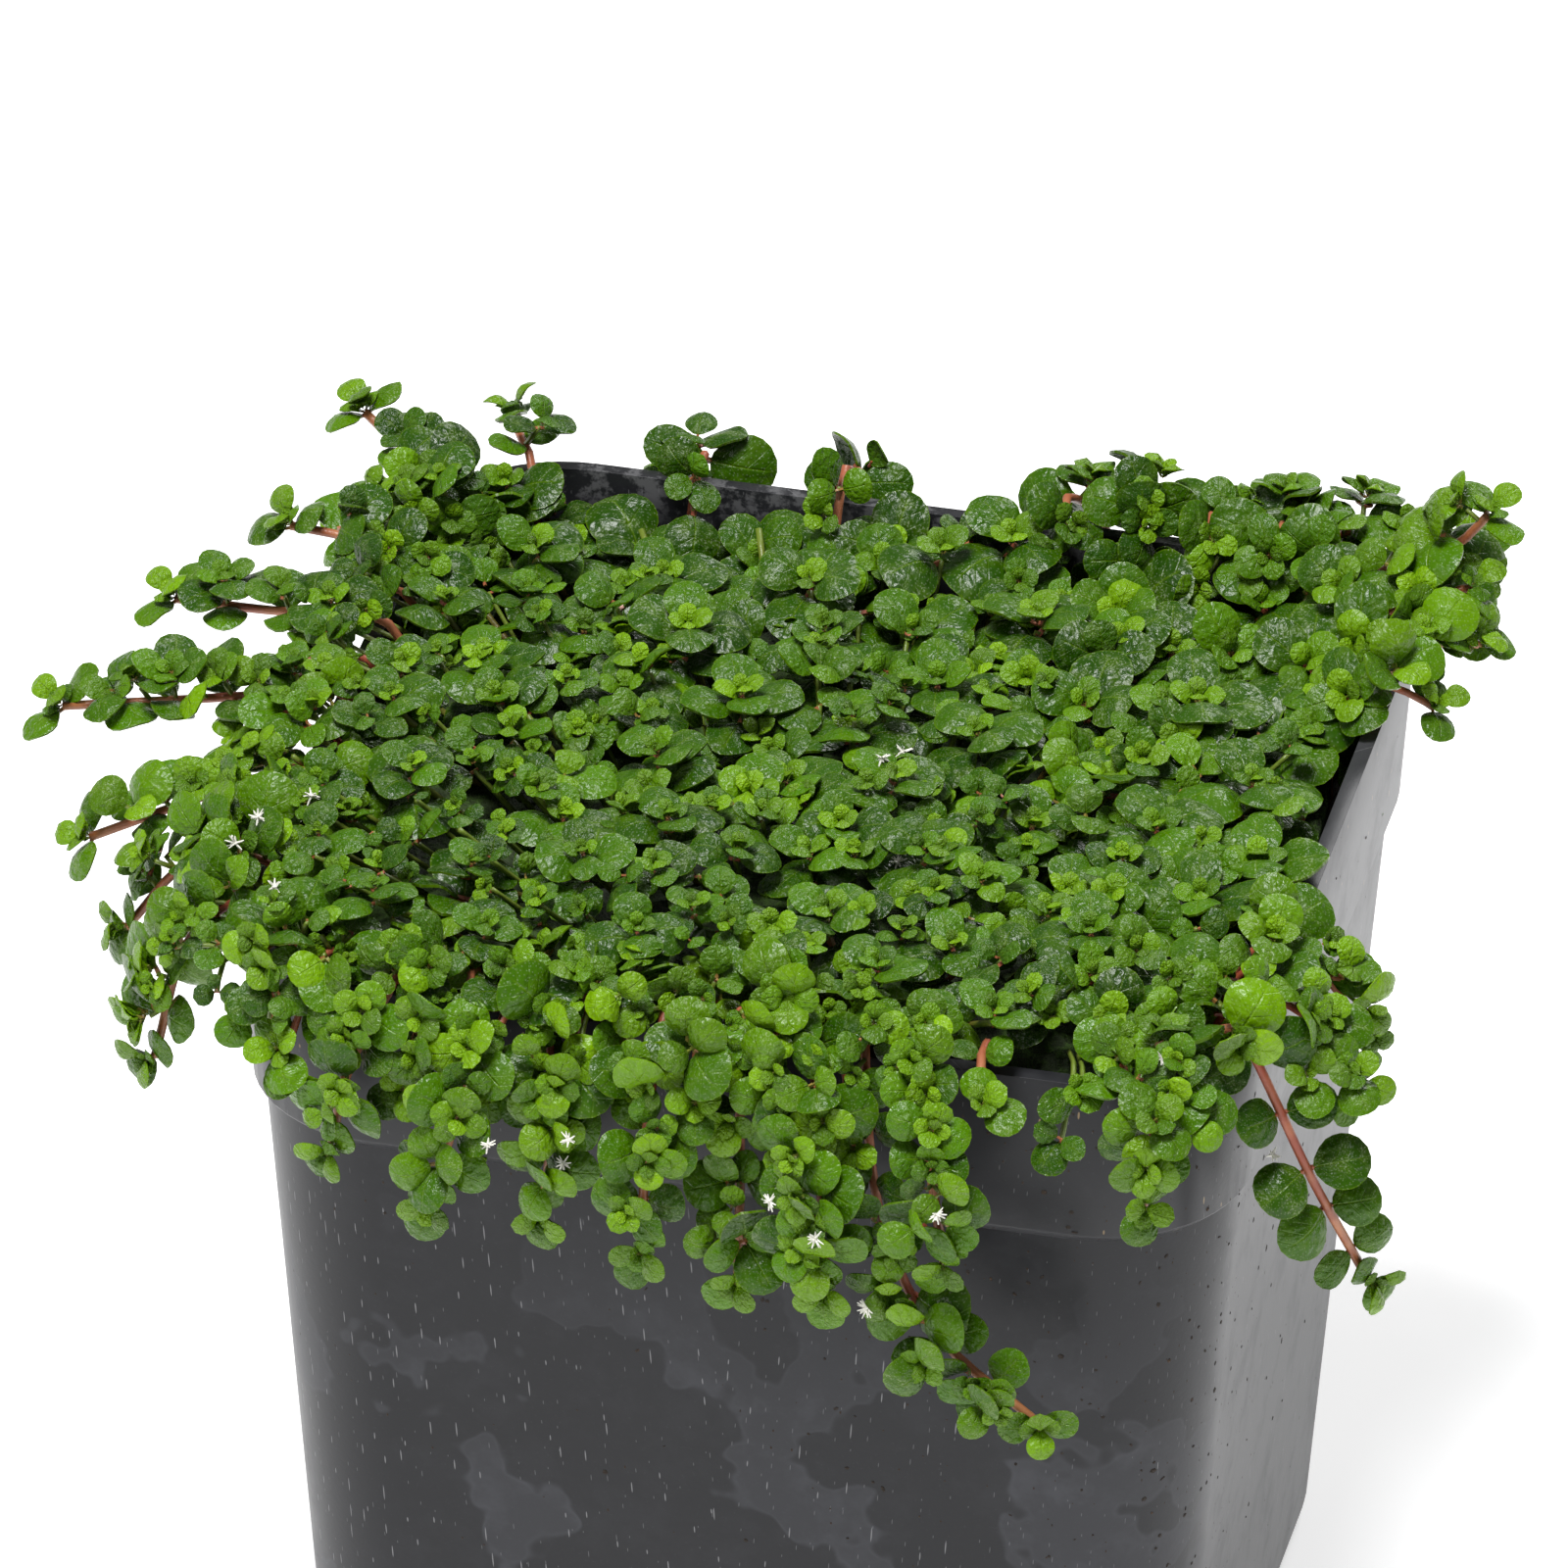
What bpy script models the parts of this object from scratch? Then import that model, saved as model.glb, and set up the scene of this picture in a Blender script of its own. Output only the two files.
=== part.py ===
# Potted baby tears: a square nursery pot full of potting mix, with a low mat of small round leaves
# on top and leafy stems that trail over the rim. Metres, +Z up, the pot's underside at z = 0.
import math
import random
from collections import namedtuple

import bmesh
import bpy
import numpy as np
from mathutils import Matrix, Vector

MM = 0.001

# The pot: outer sizes, from a nursery pot sold as 3.5 inch square.
POT_HEIGHT = 89 * MM
RIM_HALF = 44.5 * MM
BAND_HEIGHT = 16.3 * MM
BAND_TAPER = 0.057
BAND_FOOT = POT_HEIGHT - BAND_HEIGHT
BAND_HALF = RIM_HALF - BAND_TAPER * BAND_HEIGHT
BAND_STEP = 0.9 * MM
BODY_TAPER = 0.07
POT_WALL = 1.4 * MM
CORNER_SHARE = 0.29
CORNER_STEPS = 4
FOOT_BEVEL = 1.6 * MM
DRAIN_RADIUS = 3.6 * MM
DRAIN_PLACES = (24 * MM, 13 * MM)
DRAIN_SIDES = 8

# What fills the pot.
FIT_GAP = 0.3 * MM
SOIL_TOP = 79 * MM
SOIL_SWELL = 0.5 * MM
SOIL_WAVES = (210, 170)
SOIL_RINGS = 2
ROOT_DEPTH = 5 * MM
ROOT_SIDES = 4

# Stems: square, as this plant's fleshy stems nearly are.
STEM_HALF = 0.45 * MM
STEM_RADIUS = STEM_HALF * math.sqrt(2)
RISER_INSET = 4.9 * MM
CREST_REACH = 0.8 * MM
NECK_DROP = 3 * MM
NODE_STEP = 5.6 * MM
STEP_SPREAD = (0.88, 1.12)
NODE_HALF = 0.45 * MM
PAIR_GAP = 2 * NODE_HALF
BEND_ROOM = 0.2 * MM
HANG_DEPTH = 12 * MM

# Leaves: a blade widens over rungs across its stalk (share of its length, share of its width),
# and then runs to its tip.
LEAF_LENGTH = 6.7 * MM
LEAF_WIDTH = 6.0 * MM
BLADE_RUNGS = ((0.22, 0.84), (0.66, 0.94))
BLADE_THICK = 0.6 * MM
BLADE_DOME = 0.6 * MM
STALK_REACH = 2.2 * MM
CLEAR_LEAF = 0.95 * MM
CLEAR_OWN = 0.75 * MM
CLEAR_STEM = 1.15 * MM
CLEAR_POT = 0.8 * MM
PLATE_TURNS = 9

# How a leaf makes room: its size, then swing, lift and roll in degrees, in the order tried.
LEAF_GROWTHS = (1, 0.86, 0.74)
LEAF_TRIES = (
    (0, 0, 0),
    (0, 14, 0),
    (16, 0, 0),
    (-16, 0, 0),
    (0, 0, 22),
    (0, 0, -22),
    (0, -14, 0),
    (32, 10, 0),
    (-32, 10, 0),
    (16, 14, 20),
    (-16, 14, -20),
    (0, 30, 0),
)

# Pairs of leaves along a trailing stem: their forward spread and their rise in degrees, in turn,
# how far a pair may close and a leaf may lean along its stem (as cosines), and the leaves' size,
# which grows away from the tip.
PAIR_SPREADS = ((6, 20), (12, 26))
PAIR_RISES = ((0, 12), (12, 24))
PAIR_CLOSING = -0.35
MOST_LEAN = 0.62
PAIR_GROWTH = (0.92, 1.1)
YOUNG_SIZE = 0.8
YOUNG_STEP = 0.1

# The tuft at a stem's tip and the head of a leading shoot: two pairs of leaves each.
TUFT_SIZES = (0.72, 0.5)
TUFT_RISES = (8, 30)
TUFT_NOD = (0.25, 0.5)
TUFT_SWING = 45
TUFT_SPACE = (4, 5)
HEAD_SIZES = (1.05, 0.82)
HEAD_RISES = (0, 16)
HEAD_TILT = 18

# The mat: a core of packed stems, and the leading shoots that stand out of it.
CORE_HALF = 37.8 * MM
CORE_DEPTH = 4.4 * MM
CORE_BASE = SOIL_TOP + SOIL_SWELL + FIT_GAP
CORE_CELLS = 6
CORE_CORNER = 0.86
CROWN_RISE = 1.4 * MM
CROWN_TILT = (-0.035, -0.075)
CROWN_WAVES = (150, 130)
CROWN_SHIFT = (-1 * MM, -1.6 * MM)
SHOOT_ROWS = 8
SHOOT_PITCH = 11.2 * MM
SHOOT_JITTER = 1.4 * MM
SHOOT_SINK = 2.2 * MM
SHOOT_SPREAD = 0.9 * MM
SHOOT_FOOT = 0.8
SHOOT_EDGE = RIM_HALF - 2 * MM
SHOOT_NUDGES = ((0, 0), (2, 0), (-2, 0), (0, 2), (0, -2), (3, 3), (-3, -3))
CROWN_ROOTS = (-22 * MM, 22 * MM)
SEED = 20

# Each trailing stem: where it crosses the rim and how far above it (x, y, lift), then the points
# that it passes on its way to its tip, in millimetres.
TRAILING_STEMS = {
    "front_stem_1": ((-28, -44.5, 1.2), (-31, -49, 84), (-32.5, -49.5, 76)),
    "front_stem_2": ((-17.5, -44.5, 1.2), (-20.5, -51.5, 84), (-23, -52, 73.5)),
    "front_stem_3": ((-11.5, -44.5, 1.2), (-13, -48.5, 83), (-14, -49, 72)),
    "front_stem_4": ((-4.5, -44.5, 1.2), (-4.5, -51.5, 83), (-4.5, -52.5, 72)),
    "front_stem_5": ((2, -44.5, 1.2), (3, -48.5, 80), (3, -49, 68)),
    "front_stem_6": ((8.5, -44.5, 1.2), (10.5, -51.5, 83), (11.5, -52.5, 70.5)),
    "front_stem_7": ((17, -44.5, 1.2), (20, -51.5, 84), (21.5, -52, 74.5)),
    "front_stem_8": ((13, -44.5, 1.2), (15, -48.5, 77), (20, -49, 65.5), (29.5, -50, 58)),
    "front_stem_9": ((23, -44.5, 1.0), (24, -49, 88.5)),
    "front_stem_10": ((35, -44, 1.2), (37.5, -48.5, 90.8), (39, -50.5, 90)),
    "right_stem_1": ((43.5, -37, 1.2), (50, -37, 78), (54, -30.5, 64)),
    "right_stem_2": ((44.5, -22, 1.2), (50, -23, 86.5), (51, -25, 80)),
    "right_stem_3": ((44.5, -30, 1.2), (50, -32, 89.5), (52.5, -34.5, 87)),
    "right_stem_4": ((42, 36, 4), (47, 38, 96), (49.5, 38.5, 99)),
    "right_stem_5": ((44.5, 27, 1.8), (49, 29, 92), (50.5, 30, 91)),
    "right_stem_6": ((44.2, 32, 2.6), (47.5, 33, 94), (49, 33.5, 94.5)),
    "left_stem_1": ((-44.5, -3, 2.2), (-55, -3.5, 90), (-67.5, -4.5, 88)),
    "left_stem_2": ((-44.5, -15, 1.4), (-53, -17, 88), (-61.5, -18.5, 84)),
    "left_stem_3": ((-44.5, -26, 1.2), (-51, -27, 88), (-56, -27, 81)),
    "left_stem_4": ((-43.5, -36, 1.2), (-48.5, -36.5, 86), (-51, -37.5, 75)),
    "left_stem_5": ((-44.5, 10, 2.2), (-53, 12, 90), (-62, 13.5, 89)),
    "left_stem_6": ((-44.5, 22, 2.2), (-49.5, 22.5, 92), (-54, 23, 92)),
    "left_stem_7": ((-43, 35.5, 2.6), (-48, 38, 92.5), (-51.5, 40, 94)),
    "left_stem_8": ((-38, 43, 1.6), (-39.5, 46.5, 91.5)),
    "back_stem_1": ((-22, 44.5, 1.2), (-24, 50, 85), (-26, 50.5, 74)),
    "back_stem_2": ((-9, 44.5, 1.6), (-8, 50.5, 82), (-6, 50.5, 67)),
    "back_stem_3": ((11, 44.5, 1.6), (13, 50, 86), (15.5, 50, 76)),
    "back_stem_4": ((24, 44.5, 1.6), (26, 50.5, 84), (28, 50.5, 70)),
    "back_stem_5": ((35, 44, 1.6), (37, 49.5, 89), (38.5, 50.5, 81)),
}

# Where a node's rings stand along the stem: one for a bend, two for a node with leaves.
RING = (0,)
RING_PAIR = (-NODE_HALF, NODE_HALF)

Leaf = namedtuple("Leaf", "base along face length width")
Station = namedtuple("Station", "place way face leaves rings")


def material(name, colour, roughness):
    made = bpy.data.materials.new(name)
    made.use_nodes = True
    shader = made.node_tree.nodes["Principled BSDF"]
    shader.inputs["Base Color"].default_value = (*colour, 1)
    shader.inputs["Roughness"].default_value = roughness
    shader.inputs["Metallic"].default_value = 0
    return made


def new_object(name, bm, look, group):
    mesh = bpy.data.meshes.new(name)
    bm.to_mesh(mesh)
    bm.free()
    mesh.materials.append(look)
    made = bpy.data.objects.new(name, mesh)
    group.objects.link(made)
    return made


def unit(vector):
    return vector / np.linalg.norm(vector)


def turned(vector, axis, degrees):
    """vector turned about axis."""
    turn = Matrix.Rotation(math.radians(degrees), 3, Vector(axis))
    return np.array(turn @ Vector(vector))


def spaced(points):
    """Points about a millimetre apart along the straight runs between the given ones."""
    run = np.r_[0, np.cumsum(np.linalg.norm(np.diff(points, axis=0), axis=1))]
    places = np.linspace(0, run[-1], round(run[-1] / MM) + 1)
    points = np.array(points)
    return np.stack([np.interp(places, run, points[:, k]) for k in range(3)], axis=1)


def smooth_route(points):
    """Points about a millimetre apart on a smooth curve through the given points."""
    ends = [2 * points[0] - points[1], *points, 2 * points[-1] - points[-2]]
    fine = []
    for before, start, end, after in zip(ends, ends[1:], ends[2:], ends[3:]):
        for t in np.linspace(0, 1, 12, endpoint=False):
            pull = (end - before) * t + (2 * before - 5 * start + 4 * end - after) * t**2
            fine.append(start + (pull + (3 * (start - end) + after - before) * t**3) / 2)
    return spaced([*fine, points[-1]])


# The pot

def half_width(z):
    """The pot's outer half width at a height."""
    band = RIM_HALF - BAND_TAPER * (POT_HEIGHT - z)
    body = BAND_HALF - BAND_STEP - BODY_TAPER * (BAND_FOOT - z)
    return np.where(z < BAND_FOOT, body, band)


def square_distance(x, y, half):
    """How far points lie outside a square with round corners. It is negative inside."""
    corner = CORNER_SHARE * half
    over = np.stack([np.abs(x), np.abs(y)]) - (half - corner)
    return np.hypot(*np.maximum(over, 0)) + np.minimum(over.max(axis=0), 0) - corner


def pot_gap(points):
    """How far points are from the pot's wall, near enough for keeping clear of it."""
    x, y, z = points.T
    outside = square_distance(x, y, half_width(np.minimum(z, POT_HEIGHT)))
    level = np.maximum(outside, -POT_WALL - outside)
    above = np.maximum(z - POT_HEIGHT, 0)
    return np.where(above > 0, np.hypot(np.maximum(level, 0), above), level).min()


def rounded_square(bm, half):
    """A flat face with round corners, seen from above."""
    bmesh.ops.create_grid(bm, x_segments=1, y_segments=1, size=half)
    bmesh.ops.bevel(
        bm,
        geom=bm.verts[:],
        offset=CORNER_SHARE * half,
        affect="VERTICES",
        segments=CORNER_STEPS,
        profile=0.5,
        material=-1,
    )


def raise_wall(bm, profile):
    """Extrudes the open edge through (half width, height) pairs and returns the last edge."""
    edge = [e for e in bm.edges if e.is_boundary]
    for half, z in profile:
        made = bmesh.ops.extrude_edge_only(bm, edges=edge)["geom"]
        edge = [e for e in made if isinstance(e, bmesh.types.BMEdge)]
        ring = [v for v in made if isinstance(v, bmesh.types.BMVert)]
        grow = half / max(abs(v.co.x) for v in ring)
        for v in ring:
            v.co = (v.co.x * grow, v.co.y * grow, z)
    return edge


def cut(body, cutter):
    cutter.hide_render = True
    cutter.display_type = "WIRE"
    hole = body.modifiers.new(cutter.name, "BOOLEAN")
    hole.operation = "DIFFERENCE"
    hole.solver = "EXACT"
    hole.object = cutter


def post(bm, spot, sides, radius, foot, top):
    """A closed upright prism between two heights."""
    x, y = spot
    bmesh.ops.create_cone(
        bm,
        cap_ends=True,
        segments=sides,
        radius1=radius,
        radius2=radius,
        depth=top - foot,
        matrix=Matrix.Translation((x, y, (foot + top) / 2)),
    )


def make_pot(look, group, cutters):
    bm = bmesh.new()
    rounded_square(bm, half_width(0) - FOOT_BEVEL)
    raise_wall(
        bm,
        (
            (half_width(FOOT_BEVEL), FOOT_BEVEL),
            (BAND_HALF - BAND_STEP, BAND_FOOT - BAND_STEP / 2),
            (BAND_HALF, BAND_FOOT + BAND_STEP / 2),
            (RIM_HALF, POT_HEIGHT),
        ),
    )
    bmesh.ops.recalc_face_normals(bm, faces=bm.faces[:])
    bm.faces.ensure_lookup_table()
    if bm.faces[0].normal.z > 0:
        bmesh.ops.reverse_faces(bm, faces=bm.faces[:])
    pot = new_object("nursery_pot", bm, look, group)
    shell = pot.modifiers.new("wall", "SOLIDIFY")
    shell.thickness = POT_WALL
    shell.offset = -1
    shell.use_even_offset = True
    drains = bmesh.new()
    outer, inner = DRAIN_PLACES
    spots = [(x, y) for x in (-outer, outer) for y in (-outer, outer)]
    spots += [(-inner, 0), (inner, 0), (0, -inner), (0, inner)]
    for spot in spots:
        post(drains, spot, DRAIN_SIDES, DRAIN_RADIUS, -POT_WALL, 2 * POT_WALL)
    cut(pot, new_object("drain_holes", drains, look, cutters))
    pot.data.shade_smooth()
    pot.data.set_sharp_from_angle(angle=math.radians(35))
    return pot


# What the pot holds

def soil_half(z):
    return float(half_width(0)) + BODY_TAPER * z - POT_WALL - FIT_GAP


def soil_height(x, y):
    return SOIL_TOP + SOIL_SWELL * math.sin(SOIL_WAVES[0] * x + 1) * math.cos(SOIL_WAVES[1] * y)


def make_soil(look, group, cutters, roots):
    floor = POT_WALL + FIT_GAP
    bm = bmesh.new()
    rounded_square(bm, soil_half(floor) - FOOT_BEVEL)
    bmesh.ops.translate(bm, verts=bm.verts[:], vec=(0, 0, floor))
    top = soil_half(SOIL_TOP)
    raise_wall(bm, ((soil_half(floor + FOOT_BEVEL), floor + FOOT_BEVEL), (top, SOIL_TOP)))
    for ring in range(SOIL_RINGS, 0, -1):
        raise_wall(bm, ((top * ring / (SOIL_RINGS + 1), SOIL_TOP),))
    bmesh.ops.holes_fill(bm, edges=bm.edges[:])
    for v in bm.verts:
        if v.co.z > SOIL_TOP - SOIL_SWELL:
            v.co.z = soil_height(v.co.x, v.co.y)
    bmesh.ops.triangulate(bm, faces=bm.faces[:])
    bmesh.ops.recalc_face_normals(bm, faces=bm.faces[:])
    soil = new_object("potting_mix", bm, look, group)
    holes = bmesh.new()
    reach = ROOT_DEPTH + FIT_GAP
    for spot in roots:
        post(
            holes, spot, ROOT_SIDES, STEM_RADIUS + 2 * FIT_GAP, SOIL_TOP - reach, SOIL_TOP + reach
        )
    cut(soil, new_object("root_holes", holes, look, cutters))
    return soil


# Leaves

def plate_points(leaf):
    """Points spread over a blade's middle surface."""
    turns = np.linspace(0, 2 * math.pi, PLATE_TURNS, endpoint=False)
    out = np.r_[0, np.full(PLATE_TURNS, 0.55), np.ones(PLATE_TURNS)]
    turns = np.r_[0, turns + 0.3, turns]
    side = np.cross(leaf.face, leaf.along)
    along = leaf.length * (1 + out * np.cos(turns)) / 2
    across = leaf.width * out * np.sin(turns) / 2
    rise = BLADE_DOME * (1 - out**2)
    return (
        leaf.base
        + np.outer(along, leaf.along)
        + np.outer(across, side)
        + np.outer(rise, leaf.face)
    )


def plate_gap(points, leaves):
    """The least distance from points to leaves: one set of points for all, or a set for each."""
    base = np.array([leaf.base for leaf in leaves])[:, None]
    along = np.array([leaf.along for leaf in leaves])
    face = np.array([leaf.face for leaf in leaves])
    length = np.array([[leaf.length] for leaf in leaves])
    width = np.array([[leaf.width] for leaf in leaves])
    away = points - base
    u = 2 * np.einsum("npk,nk->np", away, along) / length - 1
    v = 2 * np.einsum("npk,nk->np", away, np.cross(face, along)) / width
    rise = np.einsum("npk,nk->np", away, face)
    out = np.hypot(u, v)
    beyond = np.maximum(out - 1, 0) * np.minimum(length, width) / 2
    return np.hypot(rise - BLADE_DOME * np.maximum(1 - out**2, 0), beyond).min()


class Growth:
    """All the stems, and the leaves so far, so that each new leaf can be held clear of them."""

    def __init__(self, stems):
        self.stems = np.concatenate(list(stems.values()))
        self.owners = np.concatenate([[name] * len(line) for name, line in stems.items()])
        self.leaves = []
        self.points = np.zeros((0, 2 * PLATE_TURNS + 1, 3))

    def add(self, leaves):
        self.leaves += leaves
        self.points = np.array([plate_points(leaf) for leaf in self.leaves])

    def stem_fits(self, line):
        """True where a new shoot's stem is clear of the other stems and of every leaf."""
        away = np.linalg.norm(self.stems[:, None] - line, axis=2)
        return away.min() > CLEAR_STEM + STEM_RADIUS and (
            not self.leaves or plate_gap(line, self.leaves) > CLEAR_STEM
        )

    def add_stem(self, name, line):
        self.stems = np.concatenate([self.stems, line])
        self.owners = np.concatenate([self.owners, [name] * len(line)])

    def fits(self, leaf, own_stem, own_leaves):
        """True where a blade is clear of the pot, the other stems and the other leaves."""
        points = plate_points(leaf)
        if pot_gap(points) < CLEAR_POT:
            return False
        near = np.linalg.norm(self.stems - points[0], axis=1) < leaf.length
        joint = np.linalg.norm(self.stems - leaf.base, axis=1) < STALK_REACH
        near &= (self.owners != own_stem) | ~joint
        if near.any() and plate_gap(self.stems[near], [leaf]) < CLEAR_STEM:
            return False
        paired = [other for other in own_leaves if np.linalg.norm(other.base - leaf.base) < MM / 100]
        if any(leaf.along @ other.along > PAIR_CLOSING for other in paired):
            return False
        own = [other for other in own_leaves if np.linalg.norm(other.base - leaf.base) > 1.1 * PAIR_GAP]
        if own and self.too_close(leaf, points, own, CLEAR_OWN):
            return False
        reach = 2 * LEAF_LENGTH
        near = np.flatnonzero(np.linalg.norm(self.points[:, 0] - points[0], axis=1) < reach)
        others = [self.leaves[k] for k in near]
        return not others or not self.too_close(leaf, points, others, CLEAR_LEAF)

    @staticmethod
    def too_close(leaf, points, others, clear):
        theirs = np.concatenate([plate_points(other) for other in others])
        return plate_gap(points, others) < clear or plate_gap(theirs, [leaf]) < clear

    def bent_clear(self, leaf, way, own_stem, own_leaves):
        """The leaf, or the leaf swung, lifted, rolled or made smaller until it fits, or None."""
        for grow in LEAF_GROWTHS:
            for swing, lift, roll in LEAF_TRIES:
                along = turned(leaf.along, leaf.face, swing)
                side = np.cross(leaf.face, along)
                along = turned(along, side, -lift)
                face = turned(np.cross(along, side), along, roll)
                tried = Leaf(leaf.base, along, face, leaf.length * grow, leaf.width * grow)
                if abs(along @ way) < MOST_LEAN and self.fits(tried, own_stem, own_leaves):
                    return tried
        return None


def push_out(bm, face):
    """Extrudes one face and returns the new one."""
    return bmesh.ops.extrude_discrete_faces(bm, faces=[face])["faces"][0]


def grow_blade(bm, root, leaf):
    """Extrudes a blade from one side of a stem, rung by rung, each one across the stalk and arched."""
    side = Vector(np.cross(leaf.face, leaf.along))
    up = Vector(leaf.face)
    for along, across in (*BLADE_RUNGS, (1, 0)):
        root = push_out(bm, root)
        rise = BLADE_DOME * (1 - (2 * along - 1) ** 2)
        middle = Vector(leaf.base + leaf.along * leaf.length * along + leaf.face * rise)
        corners = sorted(root.verts, key=lambda v: v.co.dot(side))
        for pair, sign in ((corners[:2], -1), (corners[2:], 1)):
            pair.sort(key=lambda v: v.co.dot(up))
            for v, level in zip(pair, (-1, 1)):
                v.co = middle + side * sign * leaf.width * across / 2 + up * level * BLADE_THICK / 2
    bmesh.ops.remove_doubles(bm, verts=corners, dist=MM / 100)


def stem_frame(station, ahead, before=None):
    """The matrix that stands a square ring on a stem, a little way along it from a station.

    Of the four quarter turns that look alike, it is the one that twists the stem least.
    """
    side = np.cross(station.face, station.way)
    ring = Matrix(np.column_stack([side, station.face, station.way]).tolist())
    if before:
        back = before.to_3x3().inverted()
        turns = [ring @ Matrix.Rotation(quarter * math.pi / 2, 3, "Z") for quarter in range(4)]
        ring = max(turns, key=lambda turned_ring: sum((turned_ring @ back)[k][k] for k in range(3)))
    frame = ring.to_4x4()
    frame.translation = Vector(station.place + station.way * ahead)
    return frame


def stem_solid(stations):
    """A square stem extruded from station to station, with blades grown out of its sides."""
    bm = bmesh.new()
    frame = stem_frame(stations[0], 0)
    turn = Matrix.Rotation(math.pi / 4, 4, "Z")
    bmesh.ops.create_circle(bm, cap_ends=True, segments=4, radius=STEM_RADIUS, matrix=frame @ turn)
    end = bm.faces[:][0]
    for station in stations[1:]:
        for ahead in station.rings:
            end = push_out(bm, end)
            onward = stem_frame(station, ahead, frame)
            bmesh.ops.transform(bm, matrix=onward @ frame.inverted(), verts=end.verts[:])
            frame = onward
        flanks = [f for e in end.edges for f in e.link_faces if f is not end]
        bm.normal_update()
        bmesh.ops.recalc_face_normals(bm, faces=bm.faces[:])
        for leaf in station.leaves:
            root = max(flanks, key=lambda f: f.normal.dot(Vector(leaf.along)))
            flanks.remove(root)
            grow_blade(bm, root, leaf)
    bmesh.ops.holes_fill(bm, edges=[e for e in bm.edges if e.is_boundary])
    bmesh.ops.recalc_face_normals(bm, faces=bm.faces[:])
    bmesh.ops.triangulate(bm, faces=bm.faces[:], quad_method="SHORT_EDGE")
    return bm


def fuse(body, solids, look):
    """Joins the loose solids to the body in one Boolean union."""
    loose = bpy.data.collections.new("loose")
    bpy.context.scene.collection.children.link(loose)
    for bm in solids:
        new_object("loose_solid", bm, look, loose)
    join = body.modifiers.new("union", "BOOLEAN")
    join.operation = "UNION"
    join.operand_type = "COLLECTION"
    join.collection = loose
    join.solver = "MANIFOLD"
    joined = bpy.data.meshes.new_from_object(
        body.evaluated_get(bpy.context.evaluated_depsgraph_get())
    )
    body.modifiers.clear()
    body.data = joined
    for solid in list(loose.objects):
        bpy.data.objects.remove(solid)
    bpy.data.collections.remove(loose)


def whorl(centre, axis, out, sizes, rises, growth, own_stem):
    """Two opposite pairs of leaves, the second a node higher up the axis and across the first."""
    found = []
    for k in range(4):
        base = centre + axis * PAIR_GAP * (k % 2)
        size, rise = sizes[k % 2], math.radians(rises[k % 2])
        flat = turned(out, axis, 90 * k)
        along = flat * math.cos(rise) + axis * math.sin(rise)
        face = axis * math.cos(rise) - flat * math.sin(rise)
        leaf = Leaf(base, along, face, LEAF_LENGTH * size, LEAF_WIDTH * size)
        leaf = growth.bent_clear(leaf, axis, own_stem, found)
        if leaf:
            found.append(leaf)
    return found


def head_stations(centre, axis, out, leaves):
    """The two nodes that a whorl's pairs grow from, one on top of the other."""
    lower = [leaf for leaf in leaves if np.linalg.norm(leaf.base - centre) < NODE_HALF]
    upper = [leaf for leaf in leaves if np.linalg.norm(leaf.base - centre) >= NODE_HALF]
    above = centre + axis * PAIR_GAP
    return (
        Station(centre, axis, out, lower, RING_PAIR),
        Station(above, axis, out, upper, (NODE_HALF,)),
    )


# Trailing stems

def stem_route(places):
    """A trailing stem's line: up out of the potting mix, over the rim and on to its tip."""
    (x, y, lift), *rest = places
    crest = np.array([x * MM, y * MM, POT_HEIGHT + lift * MM + STEM_RADIUS])
    straight = RIM_HALF * (1 - CORNER_SHARE)
    outward = unit((crest - np.clip(crest, -straight, straight)) * (1, 1, 0))
    root = crest - outward * RISER_INSET
    root[2] = SOIL_TOP - ROOT_DEPTH
    neck = np.array([*root[:2], POT_HEIGHT - NECK_DROP])
    shoulder = crest - outward * POT_WALL * 1.5
    outer = [np.array(p) * MM for p in rest]
    return smooth_route([root, neck, shoulder, crest + outward * CREST_REACH, *outer])


def facing(point):
    """The way that leaves on a trailing stem face: up above the rim, away from the pot below it."""
    x, y, z = point
    inner = RIM_HALF * 0.6
    away = np.array([x - np.clip(x, -inner, inner), y - np.clip(y, -inner, inner), 0])
    hang = np.clip((POT_HEIGHT - z) / HANG_DEPTH, 0, 1)
    return unit(unit(away) * (0.25 + hang) + np.array([0, 0, 1.25 - hang]))


def square_to(way, face):
    return unit(face - way * (face @ way))


def bends(line, first, last):
    """The places between two others where a stem has to turn to follow its line."""
    chord = unit(line[last] - line[first])
    off = np.linalg.norm(np.cross(line[first : last + 1] - line[first], chord), axis=1)
    if off.max() < BEND_ROOM:
        return []
    worst = first + int(off.argmax())
    return [*bends(line, first, worst), worst, *bends(line, worst, last)]


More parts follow.
